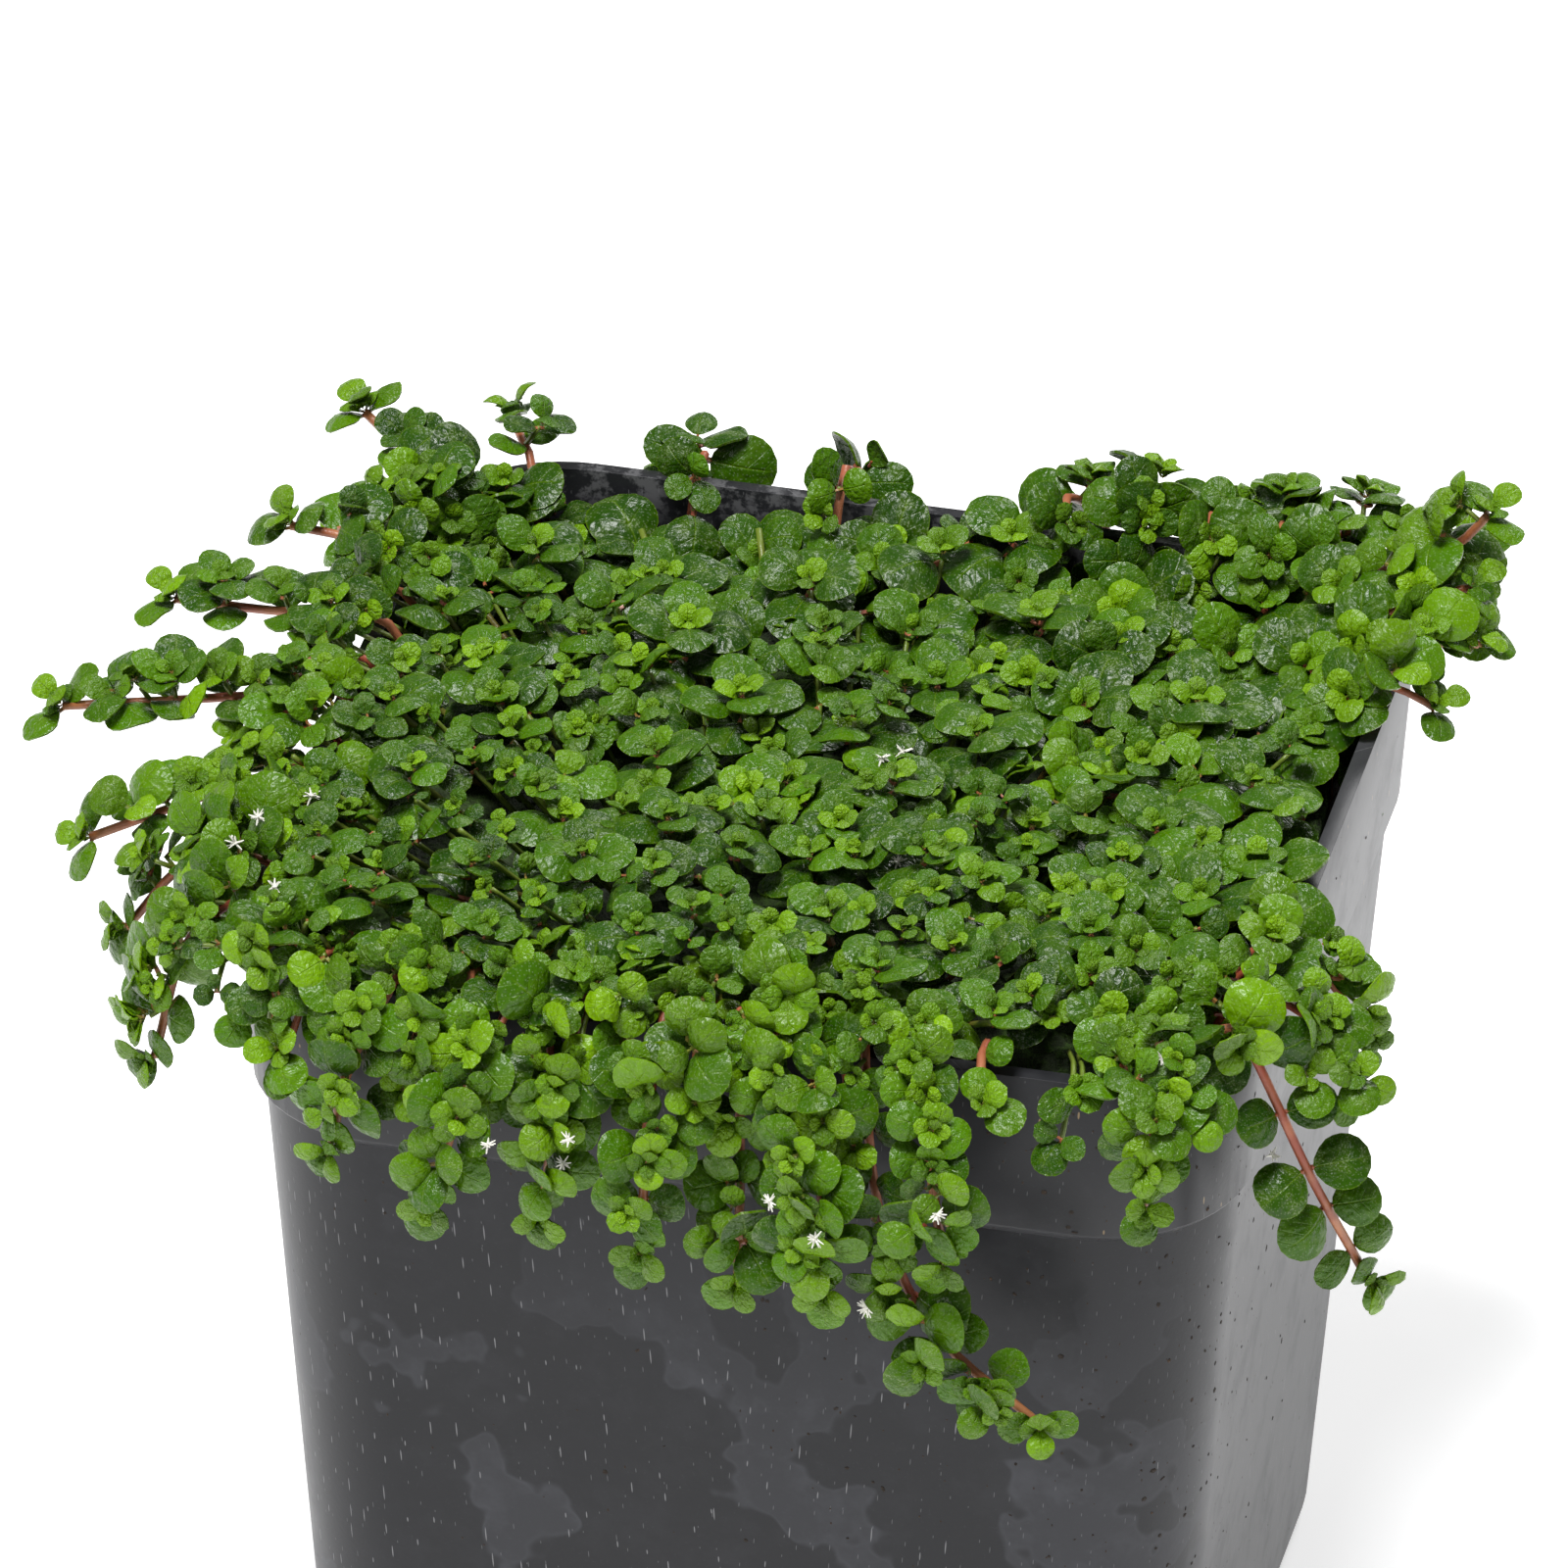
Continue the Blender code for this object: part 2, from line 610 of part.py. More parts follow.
def leafy_stations(name, line, draw, growth):
    """A trailing stem's leaves: a tuft at its tip, and pairs back to the rim. Keyed by place."""
    run = len(line) - 1
    onward = line[run] - line[run - 3]
    axis = unit(facing(line[run]) + unit(onward) * draw.uniform(*TUFT_NOD))
    out = turned(square_to(axis, onward), axis, draw.uniform(-TUFT_SWING, TUFT_SWING))
    tuft = whorl(line[run], axis, out, TUFT_SIZES, TUFT_RISES, growth, name)
    stations = dict(zip((run, run + 1), head_stations(line[run], axis, out, tuft)))
    found = list(tuft)
    place = run - draw.uniform(*TUFT_SPACE)
    pair = 0
    while square_distance(*line[int(place)][:2], RIM_HALF) > -MM:
        at = line[int(place)]
        way = unit(line[int(place) + 1] - line[int(place) - 1])
        face = square_to(way, facing(at))
        side = np.cross(way, face)
        grow = min(1, YOUNG_SIZE + YOUNG_STEP * pair) * draw.uniform(*PAIR_GROWTH)
        spread = draw.uniform(*PAIR_SPREADS[pair % 2])
        rise = draw.uniform(*PAIR_RISES[pair % 2])
        leaves = []
        for sign in (-1, 1):
            along = turned(side * sign, face, sign * spread)
            along = turned(along, np.cross(along, face), rise)
            up = square_to(along, face)
            leaf = Leaf(at, along, up, LEAF_LENGTH * grow, LEAF_WIDTH * grow)
            leaf = growth.bent_clear(leaf, way, name, found)
            if leaf:
                leaves.append(leaf)
                found.append(leaf)
        stations[int(place)] = Station(at, way, face, leaves, RING_PAIR if leaves else RING)
        place -= NODE_STEP / MM * draw.uniform(*STEP_SPREAD)
        pair += 1
    growth.add(found)
    return stations


def grow_stem(name, line, draw, growth):
    """A trailing stem, from its root to its tip."""
    stations = leafy_stations(name, line, draw, growth)
    leafy = sorted(stations)
    inward = line[0] - line[leafy[0]]
    inward = unit(inward * (1, 1, 0)) + (0, 0, 1)
    for first, last in zip([0, *leafy], leafy[:-1]):
        for k in bends(line, first, last) if first else [0, *bends(line, 0, last)]:
            way = unit(line[k + 1] - line[max(k - 1, 0)])
            face = facing(line[k]) if first else inward
            stations[k] = Station(line[k], way, square_to(way, face), [], RING)
    return stem_solid([stations[k] for k in sorted(stations)])


# The mat

def crown_height(x, y):
    """Where the mat's upper leaves lie: lowest along the back, full and a little proud in front."""
    swell = math.sin(CROWN_WAVES[0] * x + 0.6) * math.cos(CROWN_WAVES[1] * y + 0.9)
    return POT_HEIGHT + CROWN_RISE + CROWN_TILT[0] * x + CROWN_TILT[1] * y + swell * MM


def mat_core(look, group):
    """The packed stems under the leaves, as one low body."""
    bm = bmesh.new()
    bmesh.ops.create_grid(bm, x_segments=CORE_CELLS, y_segments=CORE_CELLS, size=CORE_HALF)
    for v in bm.verts:
        diagonal = min(abs(v.co.x), abs(v.co.y)) / CORE_HALF
        v.co *= 1 - (1 - CORE_CORNER) * diagonal**2
        v.co.z = crown_height(v.co.x, v.co.y) - CORE_DEPTH
    bmesh.ops.triangulate(bm, faces=bm.faces[:])
    base = bmesh.ops.extrude_face_region(bm, geom=bm.faces[:])["geom"]
    flat = [f for f in base if isinstance(f, bmesh.types.BMFace)]
    for v in {v for f in flat for v in f.verts}:
        v.co.z = CORE_BASE
    bmesh.ops.dissolve_faces(bm, faces=flat)
    bmesh.ops.recalc_face_normals(bm, faces=bm.faces[:])
    return new_object("leaf_mat", bm, look, group)


def shoot_places(draw):
    """The leading shoots: staggered rows over the mat, each with its tip and its foot in the core."""
    edge = (SHOOT_ROWS - 1) * SHOOT_PITCH / 2
    found = []
    for row in range(SHOOT_ROWS):
        for column in range(SHOOT_ROWS):
            x = column * SHOOT_PITCH - edge + (row % 2 - 0.5) * SHOOT_PITCH / 2
            y = row * SHOOT_PITCH - edge
            x = np.clip(x, -edge, edge) + CROWN_SHIFT[0] + draw.uniform(-1, 1) * SHOOT_JITTER
            y += CROWN_SHIFT[1] + draw.uniform(-1, 1) * SHOOT_JITTER
            level = SHOOT_SPREAD if (row + column) % 2 else -SHOOT_SPREAD
            z = crown_height(x, y) + level
            tip = np.array([x, y, z])
            x, y = x * SHOOT_FOOT, y * SHOOT_FOOT
            deep = crown_height(x, y) - CORE_DEPTH - SHOOT_SINK
            foot = np.array([x, y, max(deep, CORE_BASE + NODE_HALF)])
            if square_distance(*tip[:2], SHOOT_EDGE) < 0:
                found.append((tip, foot))
    return found


def main():
    for old in list(bpy.data.objects):
        bpy.data.objects.remove(old)
    group = bpy.data.collections.new("potted_baby_tears")
    cutters = bpy.data.collections.new("cutters")
    for made in (group, cutters):
        bpy.context.scene.collection.children.link(made)
    plastic = material("pot_plastic", (0.035, 0.037, 0.045), 0.42)
    peat = material("potting_mix", (0.022, 0.015, 0.010), 0.95)
    green = material("foliage", (0.085, 0.26, 0.03), 0.45)

    lines = {name: stem_route(places) for name, places in TRAILING_STEMS.items()}
    crown_roots = [(x, y) for x in CROWN_ROOTS for y in CROWN_ROOTS]
    make_pot(plastic, group, cutters)
    make_soil(peat, group, cutters, crown_roots + [tuple(line[0][:2]) for line in lines.values()])

    growth = Growth(lines)
    for name, line in lines.items():
        draw = random.Random(f"{SEED} {name}")
        new_object(name, grow_stem(name, line, draw, growth), green, group)

    draw = random.Random(SEED)
    core = mat_core(green, group)
    solids = []
    for spot in crown_roots:
        peg = bmesh.new()
        post(peg, spot, ROOT_SIDES, STEM_RADIUS, SOIL_TOP - ROOT_DEPTH, SOIL_TOP + 2 * MM)
        solids.append(peg)
    for tip, foot in shoot_places(draw):
        first, tilt, bearing = draw.uniform(0, 90), draw.uniform(0, HEAD_TILT), draw.uniform(0, 360)
        axis = turned((0, 0, 1), turned((1, 0, 0), (0, 0, 1), bearing), tilt)
        out = square_to(axis, turned((1, 0, 0), (0, 0, 1), first))
        for nudge in SHOOT_NUDGES:
            place = tip + np.array([*nudge, 0]) * MM
            line = spaced([foot, place])
            if growth.stem_fits(line):
                break
        else:
            continue
        name = f"shoot {len(solids)}"
        leaves = whorl(place, axis, out, HEAD_SIZES, HEAD_RISES, growth, name)
        if leaves:
            growth.add(leaves)
            growth.add_stem(name, line)
            way = unit(place - foot)
            start = Station(foot, way, square_to(way, out), [], RING)
            solids.append(stem_solid([start, *head_stations(place, axis, out, leaves)]))
    fuse(core, solids, green)


main()
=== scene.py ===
import math
import random
from collections import namedtuple

import bmesh
import bpy
import numpy as np
from mathutils import Matrix, Vector
from mathutils.bvhtree import BVHTree


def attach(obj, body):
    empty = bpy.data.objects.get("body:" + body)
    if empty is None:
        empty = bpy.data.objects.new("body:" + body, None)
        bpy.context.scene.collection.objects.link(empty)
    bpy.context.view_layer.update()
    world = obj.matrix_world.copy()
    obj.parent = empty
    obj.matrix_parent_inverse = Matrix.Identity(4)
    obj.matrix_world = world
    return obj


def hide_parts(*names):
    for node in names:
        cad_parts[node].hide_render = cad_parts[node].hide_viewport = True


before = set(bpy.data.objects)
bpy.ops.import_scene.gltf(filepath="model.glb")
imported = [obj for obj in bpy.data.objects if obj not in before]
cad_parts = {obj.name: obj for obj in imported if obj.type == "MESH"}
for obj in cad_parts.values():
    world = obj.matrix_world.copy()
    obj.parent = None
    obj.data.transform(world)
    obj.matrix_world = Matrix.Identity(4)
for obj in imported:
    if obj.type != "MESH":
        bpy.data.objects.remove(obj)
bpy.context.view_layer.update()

# The camera stands two metres off with a long lens, a little to the right of the pot's front and
# well above it, and looks at the middle of the rim as the photograph does.

MM = 0.001
VIEW_ANGLES = (12.4705, 31.8858, 0.7147)
VIEW_CENTRE = (0, 0, 89 * MM)
VIEW_DISTANCE = 2.0
VIEW_LENS = 532.24
VIEW_SHIFT = (-0.03208, -0.01035)
SENSOR = 36


def show(name, data):
    """A new object in the scene."""
    made = bpy.data.objects.new(name, data)
    bpy.context.scene.collection.objects.link(made)
    return made


turn, rise, roll = (math.radians(angle) for angle in VIEW_ANGLES)
toward = Vector((math.sin(turn) * math.cos(rise), -math.cos(turn) * math.cos(rise), math.sin(rise)))
level = Vector((math.cos(turn), math.sin(turn), 0))
above = toward.cross(level)
lens = bpy.data.cameras.new("camera")
lens.lens = VIEW_LENS
lens.sensor_width = SENSOR
lens.shift_x, lens.shift_y = VIEW_SHIFT
lens.clip_start, lens.clip_end = 0.1, 20
camera = show("camera", lens)
camera_right = level * math.cos(roll) + above * math.sin(roll)
camera_up = above * math.cos(roll) - level * math.sin(roll)
pose = Matrix((camera_right, camera_up, toward)).transposed().to_4x4()
pose.translation = Vector(VIEW_CENTRE) + toward * VIEW_DISTANCE
camera.matrix_world = pose
bpy.context.scene.camera = camera
bpy.context.scene.view_settings.view_transform = "Standard"


# The nursery pot: one moulding of charcoal polypropylene, square with round corners, that tapers
# down from a stiff band under its lip. Its floor has round drain holes. It is used and scuffed:
# hard water has dried on it in pale patches, and crumbs of potting mix stick to it.

POT_HEIGHT = 89 * MM
RIM_HALF = 44.5 * MM
BAND_HEIGHT = 16.3 * MM
BAND_TAPER = 0.057
BAND_FOOT = POT_HEIGHT - BAND_HEIGHT
BAND_HALF = RIM_HALF - BAND_TAPER * BAND_HEIGHT
BAND_STEP = 0.9 * MM
BODY_TAPER = 0.07
POT_WALL = 1.4 * MM
CORNER_SHARE = 0.29
CORNER_STEPS = 12
FOOT_BEVEL = 1.6 * MM
LIP_EDGE = 0.32 * MM
DRAIN_RADIUS = 3.6 * MM
DRAIN_PLACES = (24 * MM, 13 * MM)
CHARCOAL = (0.0145, 0.0148, 0.0170, 1)
LIME = (0.075, 0.077, 0.088, 1)
# SCRATCH_AND_SHEEN_GREY is the grey of the scratches, and also of a painted sheen on the right face.
SCRATCH_AND_SHEEN_GREY = (0.30, 0.30, 0.31, 1)
DIRT = (0.030, 0.018, 0.010, 1)
STRAW = (0.30, 0.21, 0.11, 1)


class Varying:
    """A value that changes over a surface. Sums on it are written as on plain numbers."""

    def __init__(self, finish, socket):
        self.finish = finish
        self.socket = socket

    def beside(self, output):
        """Another output of the same node."""
        return Varying(self.finish, self.socket.node.outputs[output])

    def sum(self, operation, *values):
        return self.finish.node("ShaderNodeMath", {"operation": operation}, dict(enumerate(values)))

    def __add__(self, other):
        return self.sum("ADD", self, other)

    def __sub__(self, other):
        return self.sum("SUBTRACT", self, other)

    def __rsub__(self, other):
        return self.sum("SUBTRACT", other, self)

    def __mul__(self, other):
        return self.sum("MULTIPLY", self, other)

    def __truediv__(self, other):
        return self.sum("DIVIDE", self, other)

    def __pow__(self, other):
        return self.sum("POWER", self, other)

    def __abs__(self):
        return self.sum("ABSOLUTE", self)

    def __gt__(self, other):
        return self.sum("GREATER_THAN", self, other)

    def __lt__(self, other):
        return self.sum("LESS_THAN", self, other)

    __radd__ = __add__
    __rmul__ = __mul__

    def between(self, low, high):
        """0 at low, 1 at high, and smooth between them."""
        return self.finish.node(
            "ShaderNodeMapRange", {"interpolation_type": "SMOOTHSTEP"}, {0: self, 1: low, 2: high}
        )

    def parts(self):
        """The x, y and z of a vector, or the channels of a colour."""
        split = self.finish.node("ShaderNodeSeparateXYZ", {}, {0: self})
        return split, split.beside(1), split.beside(2)


class Finish:
    """One material: a Principled shader and the nodes that feed it."""

    def __init__(self, name, **constants):
        self.material = bpy.data.materials.new(name)
        self.material.use_nodes = True
        self.tree = self.material.node_tree
        self.shader = self.tree.nodes["Principled BSDF"]
        self.feed(**constants)

    def feed(self, **inputs):
        for name, value in inputs.items():
            self.put(self.shader.inputs[name.replace("_", " ")], value)

    def put(self, socket, value):
        if isinstance(value, Varying):
            self.tree.links.new(value.socket, socket)
        else:
            socket.default_value = value

    def node(self, kind, settings, inputs, output=0):
        made = self.tree.nodes.new(kind)
        for name, value in settings.items():
            setattr(made, name, value)
        for name, value in inputs.items():
            self.put(made.inputs[name], value)
        return Varying(self, made.outputs[output])

    def place(self):
        """Object coordinates in millimetres."""
        where = self.node("ShaderNodeTexCoord", {}, {}, "Object")
        return self.node("ShaderNodeVectorMath", {"operation": "SCALE"}, {0: where, "Scale": 1000})

    def vector(self, *values):
        return self.node("ShaderNodeCombineXYZ", {}, dict(enumerate(values)))

    def mix(self, share, first, second, blend="MIX"):
        settings = {"data_type": "RGBA", "blend_type": blend}
        return self.node("ShaderNodeMix", settings, {0: share, 6: first, 7: second}, 2)

    def noise(self, where, size, detail=2, rough=0.5, flat="3D"):
        inputs = {"Vector": where, "Scale": 1 / size, "Detail": detail, "Roughness": rough}
        return self.node("ShaderNodeTexNoise", {"noise_dimensions": flat}, inputs)

    def bump(self, height, depth, strength=1):
        inputs = {"Strength": strength, "Distance": depth, "Height": height}
        return self.node("ShaderNodeBump", {}, inputs)

    def look(self):
        """A leaf's or a stem's youth, its shade and a number of its own."""
        return self.node("ShaderNodeAttribute", {"attribute_name": "look"}, {}, "Vector").parts()


def marks(finish, across, up, spacing, half, share):
    """Small ovals scattered over the pot's sides: one to a cell of a loose net, on a share of them."""
    spot = finish.vector(across / spacing[0], up / spacing[1], 0)
    inputs = {"Vector": spot, "Scale": 1}
    cell = finish.node("ShaderNodeTexVoronoi", {"voronoi_dimensions": "2D"}, inputs, "Position")
    away = finish.node("ShaderNodeVectorMath", {"operation": "SUBTRACT"}, {0: spot, 1: cell})
    dx, dy, _ = away.parts()
    luck, size, _ = cell.beside("Color").parts()
    dx = dx * (spacing[0] / half[0])
    dy = dy * (spacing[1] / half[1]) / (size + 0.4)
    return (dx * dx + dy * dy).between(1.3, 0.5) * (luck < share)


def plastic_finish():
    plastic = Finish("charcoal_plastic", Metallic=0, IOR=1.5, Specular_IOR_Level=0.24)
    where = plastic.place()
    x, y, z = where.parts()
    across = x + y * ((x * y < 0) * 2 - 1)
    low = z.between(76, 40) * y.between(-18, -40)
    tide = plastic.noise(where, 15, 3, 0.6)
    patch = tide.between(0.52, 0.55) * low
    edge = abs(tide - 0.545).between(0.016, 0.0) * low
    film = plastic.noise(where, 6, 4, 0.65).between(0.45, 0.75)
    dust = plastic.noise(where, 0.35, 2, 0.7).between(0.62, 0.74)
    left = (x - 0.4 * y).between(60, -10)
    worn = marks(plastic, across, z, (2.3, 2.7), (0.055, 0.6), 0.45 * left) * z.between(72, 66)
    fine = marks(plastic, across, z, (1.3, 2.1), (0.04, 0.25), 0.4)
    grit = marks(plastic, across + 31, z, (1.9, 2.3), (0.09, 0.13), 0.3 * (x - y).between(30, 85) + 0.06)
    straw = marks(plastic, across + 7, z + 3, (3.1, 2.7), (0.1, 0.3), 0.14) * z.between(70, 75)
    colour = plastic.mix(patch * (0.28 + 0.2 * film), CHARCOAL, LIME)
    colour = plastic.mix(film * 0.10 + edge * 0.10 + dust * 0.10, colour, LIME)
    colour = plastic.mix(worn * 0.6 + fine * 0.25, colour, SCRATCH_AND_SHEEN_GREY)
    # The right face is painted paler toward the back in the scratches' grey: a painted sheen of the
    # light that it catches.
    painted_right_sheen = x.between(20, 44) * y.between(-30, 40)
    colour = plastic.mix(painted_right_sheen * painted_right_sheen * 0.18, colour, SCRATCH_AND_SHEEN_GREY)
    crust = plastic.noise(where, 2.2, 4, 0.7).between(0.46, 0.58) * y.between(40, 43)
    colour = plastic.mix(crust * z.between(83, 88) * 0.25, colour, SCRATCH_AND_SHEEN_GREY)
    colour = plastic.mix(straw * 0.8, colour, STRAW)
    colour = plastic.mix(grit, colour, DIRT)
    rough = 0.36 + 0.06 * film + 0.04 * patch + 0.35 * grit
    height = plastic.noise(where, 0.5, 2, 0.6) * 0.3 + grit * 0.6 - worn * 0.3
    plastic.feed(Base_Color=colour, Roughness=rough, Normal=plastic.bump(height, 0.06 * MM, 0.5))
    return plastic


def made_mesh(name, bm):
    """A mesh of what bm holds. It uses bm up."""
    mesh = bpy.data.meshes.new(name)
    bm.to_mesh(mesh)
    bm.free()
    return mesh


def new_piece(name, bm, slot, *finishes):
    """A finished piece on the one body, with its materials. The slot argument is not used."""
    made = show(name, made_mesh(name, bm))
    for finish in finishes:
        made.data.materials.append(finish.material)
    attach(made, "root")
    return made


def half_width(z):
    """The pot's outer half width at a height."""
    band = RIM_HALF - BAND_TAPER * (POT_HEIGHT - z)
    body = BAND_HALF - BAND_STEP - BODY_TAPER * (BAND_FOOT - z)
    return np.where(z < BAND_FOOT, body, band)


def rounded_square(bm, half):
    """A flat face with round corners."""
    bmesh.ops.create_grid(bm, x_segments=1, y_segments=1, size=half)
    bmesh.ops.bevel(
        bm,
        geom=bm.verts[:],
        offset=CORNER_SHARE * half,
        affect="VERTICES",
        segments=CORNER_STEPS,
        profile=0.5,
        material=-1,
    )


def raise_wall(bm, profile):
    """Extrudes the open edge through (half width, height) pairs."""
    edge = [e for e in bm.edges if e.is_boundary]
    for half, z in profile:
        made = bmesh.ops.extrude_edge_only(bm, edges=edge)["geom"]
        edge = [e for e in made if isinstance(e, bmesh.types.BMEdge)]
        ring = [v for v in made if isinstance(v, bmesh.types.BMVert)]
        grow = half / max(abs(v.co.x) for v in ring)
        for v in ring:
            v.co = (v.co.x * grow, v.co.y * grow, z)


def rod(bm, sides, radius, end_radius, length, lie):
    """A rod or cone with closed ends, and its points."""
    return bmesh.ops.create_cone(
        bm,
        cap_ends=True,
        segments=sides,
        radius1=radius,
        radius2=end_radius,
        depth=length,
        matrix=lie,
    )["verts"]


def modify(piece, name, kind, **settings):
    """Adds a modifier."""
    made = piece.modifiers.new(name, kind)
    for setting, value in settings.items():
        setattr(made, setting, value)


def moulded_pot(finish):
    """The pot's outside, given its wall, then its drain holes, then its softened edges."""
    bm = bmesh.new()
    rounded_square(bm, half_width(0) - FOOT_BEVEL)
    foot, body = half_width(FOOT_BEVEL), BAND_HALF - BAND_STEP
    angles = [math.radians(angle) for angle in (22, 45, 67, 90)]
    profile = [
        (foot - FOOT_BEVEL * (1 - math.sin(a)), FOOT_BEVEL * (1 - math.cos(a))) for a in angles
    ]
    profile += [(half_width(z * MM), z * MM) for z in (18, 36, 54)]
    profile += [
        (body, BAND_FOOT - 0.55 * MM),
        (body + 0.22 * MM, BAND_FOOT - 0.32 * MM),
        (BAND_HALF - 0.2 * MM, BAND_FOOT + 0.25 * MM),
        (BAND_HALF, BAND_FOOT + 0.6 * MM),
        (RIM_HALF, POT_HEIGHT),
    ]
    raise_wall(bm, profile)
    bmesh.ops.recalc_face_normals(bm, faces=bm.faces[:])
    bm.faces.ensure_lookup_table()
    if bm.faces[0].normal.z > 0:
        bmesh.ops.reverse_faces(bm, faces=bm.faces[:])
    pot = new_piece("moulded_pot", bm, "pot_plastic", finish)
    modify(pot, "wall", "SOLIDIFY", thickness=POT_WALL, offset=-1, use_even_offset=True)
    drains = bmesh.new()
    outer, inner = DRAIN_PLACES
    spots = [(x, y) for x in (-outer, outer) for y in (-outer, outer)]
    spots += [(-inner, 0), (inner, 0), (0, -inner), (0, inner)]
    for x, y in spots:
        lie = Matrix.Translation((x, y, 0))
        rod(drains, 40, DRAIN_RADIUS, DRAIN_RADIUS, 4 * POT_WALL, lie)
    punch = new_piece("drain_punch", drains, "pot_plastic", finish)
    modify(pot, "drains", "BOOLEAN", object=punch, solver="EXACT")
    sharp = {"limit_method": "ANGLE", "angle_limit": math.radians(50)}
    modify(pot, "edges", "BEVEL", width=LIP_EDGE, segments=3, **sharp)
    graph = bpy.context.evaluated_depsgraph_get()
    cut = bpy.data.meshes.new_from_object(pot.evaluated_get(graph))
    pot.modifiers.clear()
    pot.data = cut
    bpy.data.objects.remove(punch)
    cut.shade_smooth()
    cut.set_sharp_from_angle(angle=math.radians(32))
    return pot


pot = moulded_pot(plastic_finish())
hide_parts("nursery_pot")


def square_distance(x, y, half):
    """How far points lie outside a square with round corners. It is negative inside."""
    corner = CORNER_SHARE * half
    over = np.stack([np.abs(x), np.abs(y)]) - (half - corner)
    return np.hypot(*np.maximum(over, 0)) + np.minimum(over.max(axis=0), 0) - corner


# The potting mix: dark moist peat and fine bark that fills the pot to a finger's breadth under the
# lip. It was pressed in by hand. Loose crumbs lie on top of it, and some stuck to the pot's sides.

FIT_GAP = 0.3 * MM
SOIL_TOP = 79 * MM
SOIL_SWELL = 0.5 * MM
SOIL_REACH = 41
LOOSE_CRUMBS = 420
STUCK_CRUMBS = 240
LOOSE_SIZES = (0.4, 1.1)
STUCK_SIZES = (0.3, 0.8)
STUCK_DEPTH = 0.12 * MM
PEAT = (0.020, 0.013, 0.008, 1)
BARK = (0.075, 0.042, 0.022, 1)


def peat_finish():
    peat = Finish("damp_peat", Metallic=0)
    where = peat.place()
    clods = peat.noise(where, 1.6, 4, 0.7)
    flecks = peat.noise(where, 0.8, 2, 0.6).between(0.6, 0.7)
    peat.feed(
        Base_Color=peat.mix(flecks, PEAT, BARK),
        Roughness=0.78 + 0.2 * clods,
        Normal=peat.bump(clods, 0.6 * MM),
    )
    return peat


def lay_crumbs(count, finish, draw):
    """Loose crumbs on top of the potting mix."""
    bm = bmesh.new()
    for _ in range(count):
        x, y = (draw.uniform(-SOIL_REACH, SOIL_REACH) * MM for _ in range(2))
        if square_distance(x, y, SOIL_REACH * MM) > 0:
            continue
        size = draw.uniform(*LOOSE_SIZES) * MM
        lie = Matrix.LocRotScale(
            Vector((x, y, SOIL_TOP + SOIL_SWELL)),
            Vector([draw.uniform(0, 6) for _ in range(3)]).to_track_quat("X", "Z"),
            Vector([size * draw.uniform(0.6, 1) for _ in range(3)]),
        )
        bmesh.ops.create_icosphere(bm, subdivisions=1, radius=1, matrix=lie)
    return new_piece("peat_crumbs", bm, "potting_mix", finish)


def stick_crumbs(count, finish, draw):
    """Crumbs that dried onto the outside of the pot, most of them about its front right corner."""
    wall = BVHTree.FromObject(pot, bpy.context.evaluated_depsgraph_get())
    bm = bmesh.new()
    for _ in range(count):
        past_corner, z = draw.gauss(-2, 26) * MM, draw.uniform(20, 88) * MM
        if past_corner < 0:
            start, way = (RIM_HALF + past_corner, -0.1, z), (0, 1, 0)
        else:
            start, way = (0.1, past_corner - RIM_HALF, z), (-1, 0, 0)
        spot, out, _, _ = wall.ray_cast(Vector(start), Vector(way))
        if spot is None or abs(out.z) > 0.5:
            continue
        lie = out.to_track_quat("Z", "Y").to_matrix().to_4x4()
        flat = [draw.uniform(*STUCK_SIZES) * draw.uniform(0.4, 1) * MM for _ in range(2)]
        size = Matrix.LocRotScale(None, None, Vector((*flat, STUCK_DEPTH)))
        spin = Matrix.Rotation(draw.uniform(0, 6), 4, "Z")
        lie = Matrix.Translation(spot) @ lie @ spin @ size
        bmesh.ops.create_icosphere(bm, subdivisions=1, radius=0.5, matrix=lie)
    return new_piece("stuck_crumbs", bm, "potting_mix", finish)


peat = peat_finish()
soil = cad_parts["potting_mix"]
soil.data.materials.clear()
soil.data.materials.append(peat.material)
lay_crumbs(LOOSE_CRUMBS, peat, random.Random(5))
stick_crumbs(STUCK_CRUMBS, peat, random.Random(8))


# The trailing stems: thin fleshy stems, pinkish red where they are old, that root in the potting
# mix, climb over the lip and hang or reach out. Small round leaves stand on them in opposite pairs,
# and each tip is a tuft of young ones.

SEED = 20
STEM_HALF = 0.45 * MM
STEM_RADIUS = STEM_HALF * math.sqrt(2)
RISER_INSET = 4.9 * MM
CREST_REACH = 0.8 * MM
ROOT_DEPTH = 5 * MM
NECK_DROP = 3 * MM
NODE_STEP = 5.6 * MM
STEP_SPREAD = (0.88, 1.12)
NODE_HALF = 0.45 * MM
PAIR_GAP = 2 * NODE_HALF
HANG_DEPTH = 12 * MM
LEAF_LENGTH = 6.7 * MM
LEAF_WIDTH = 6.0 * MM
BLADE_DOME = 0.6 * MM
STALK_REACH = 2.2 * MM
CLEAR_LEAF = 0.95 * MM
CLEAR_OWN = 0.75 * MM
CLEAR_STEM = 1.15 * MM
CLEAR_POT = 0.8 * MM
PLATE_TURNS = 9
LEAF_GROWTHS = (1, 0.86, 0.74)
LEAF_TRIES = (
    (0, 0, 0), (0, 14, 0), (16, 0, 0), (-16, 0, 0), (0, 0, 22), (0, 0, -22), (0, -14, 0),
    (32, 10, 0), (-32, 10, 0), (16, 14, 20), (-16, 14, -20), (0, 30, 0),
)
PAIR_SPREADS = ((6, 20), (12, 26))
PAIR_RISES = ((0, 12), (12, 24))
PAIR_CLOSING = -0.35
MOST_LEAN = 0.62
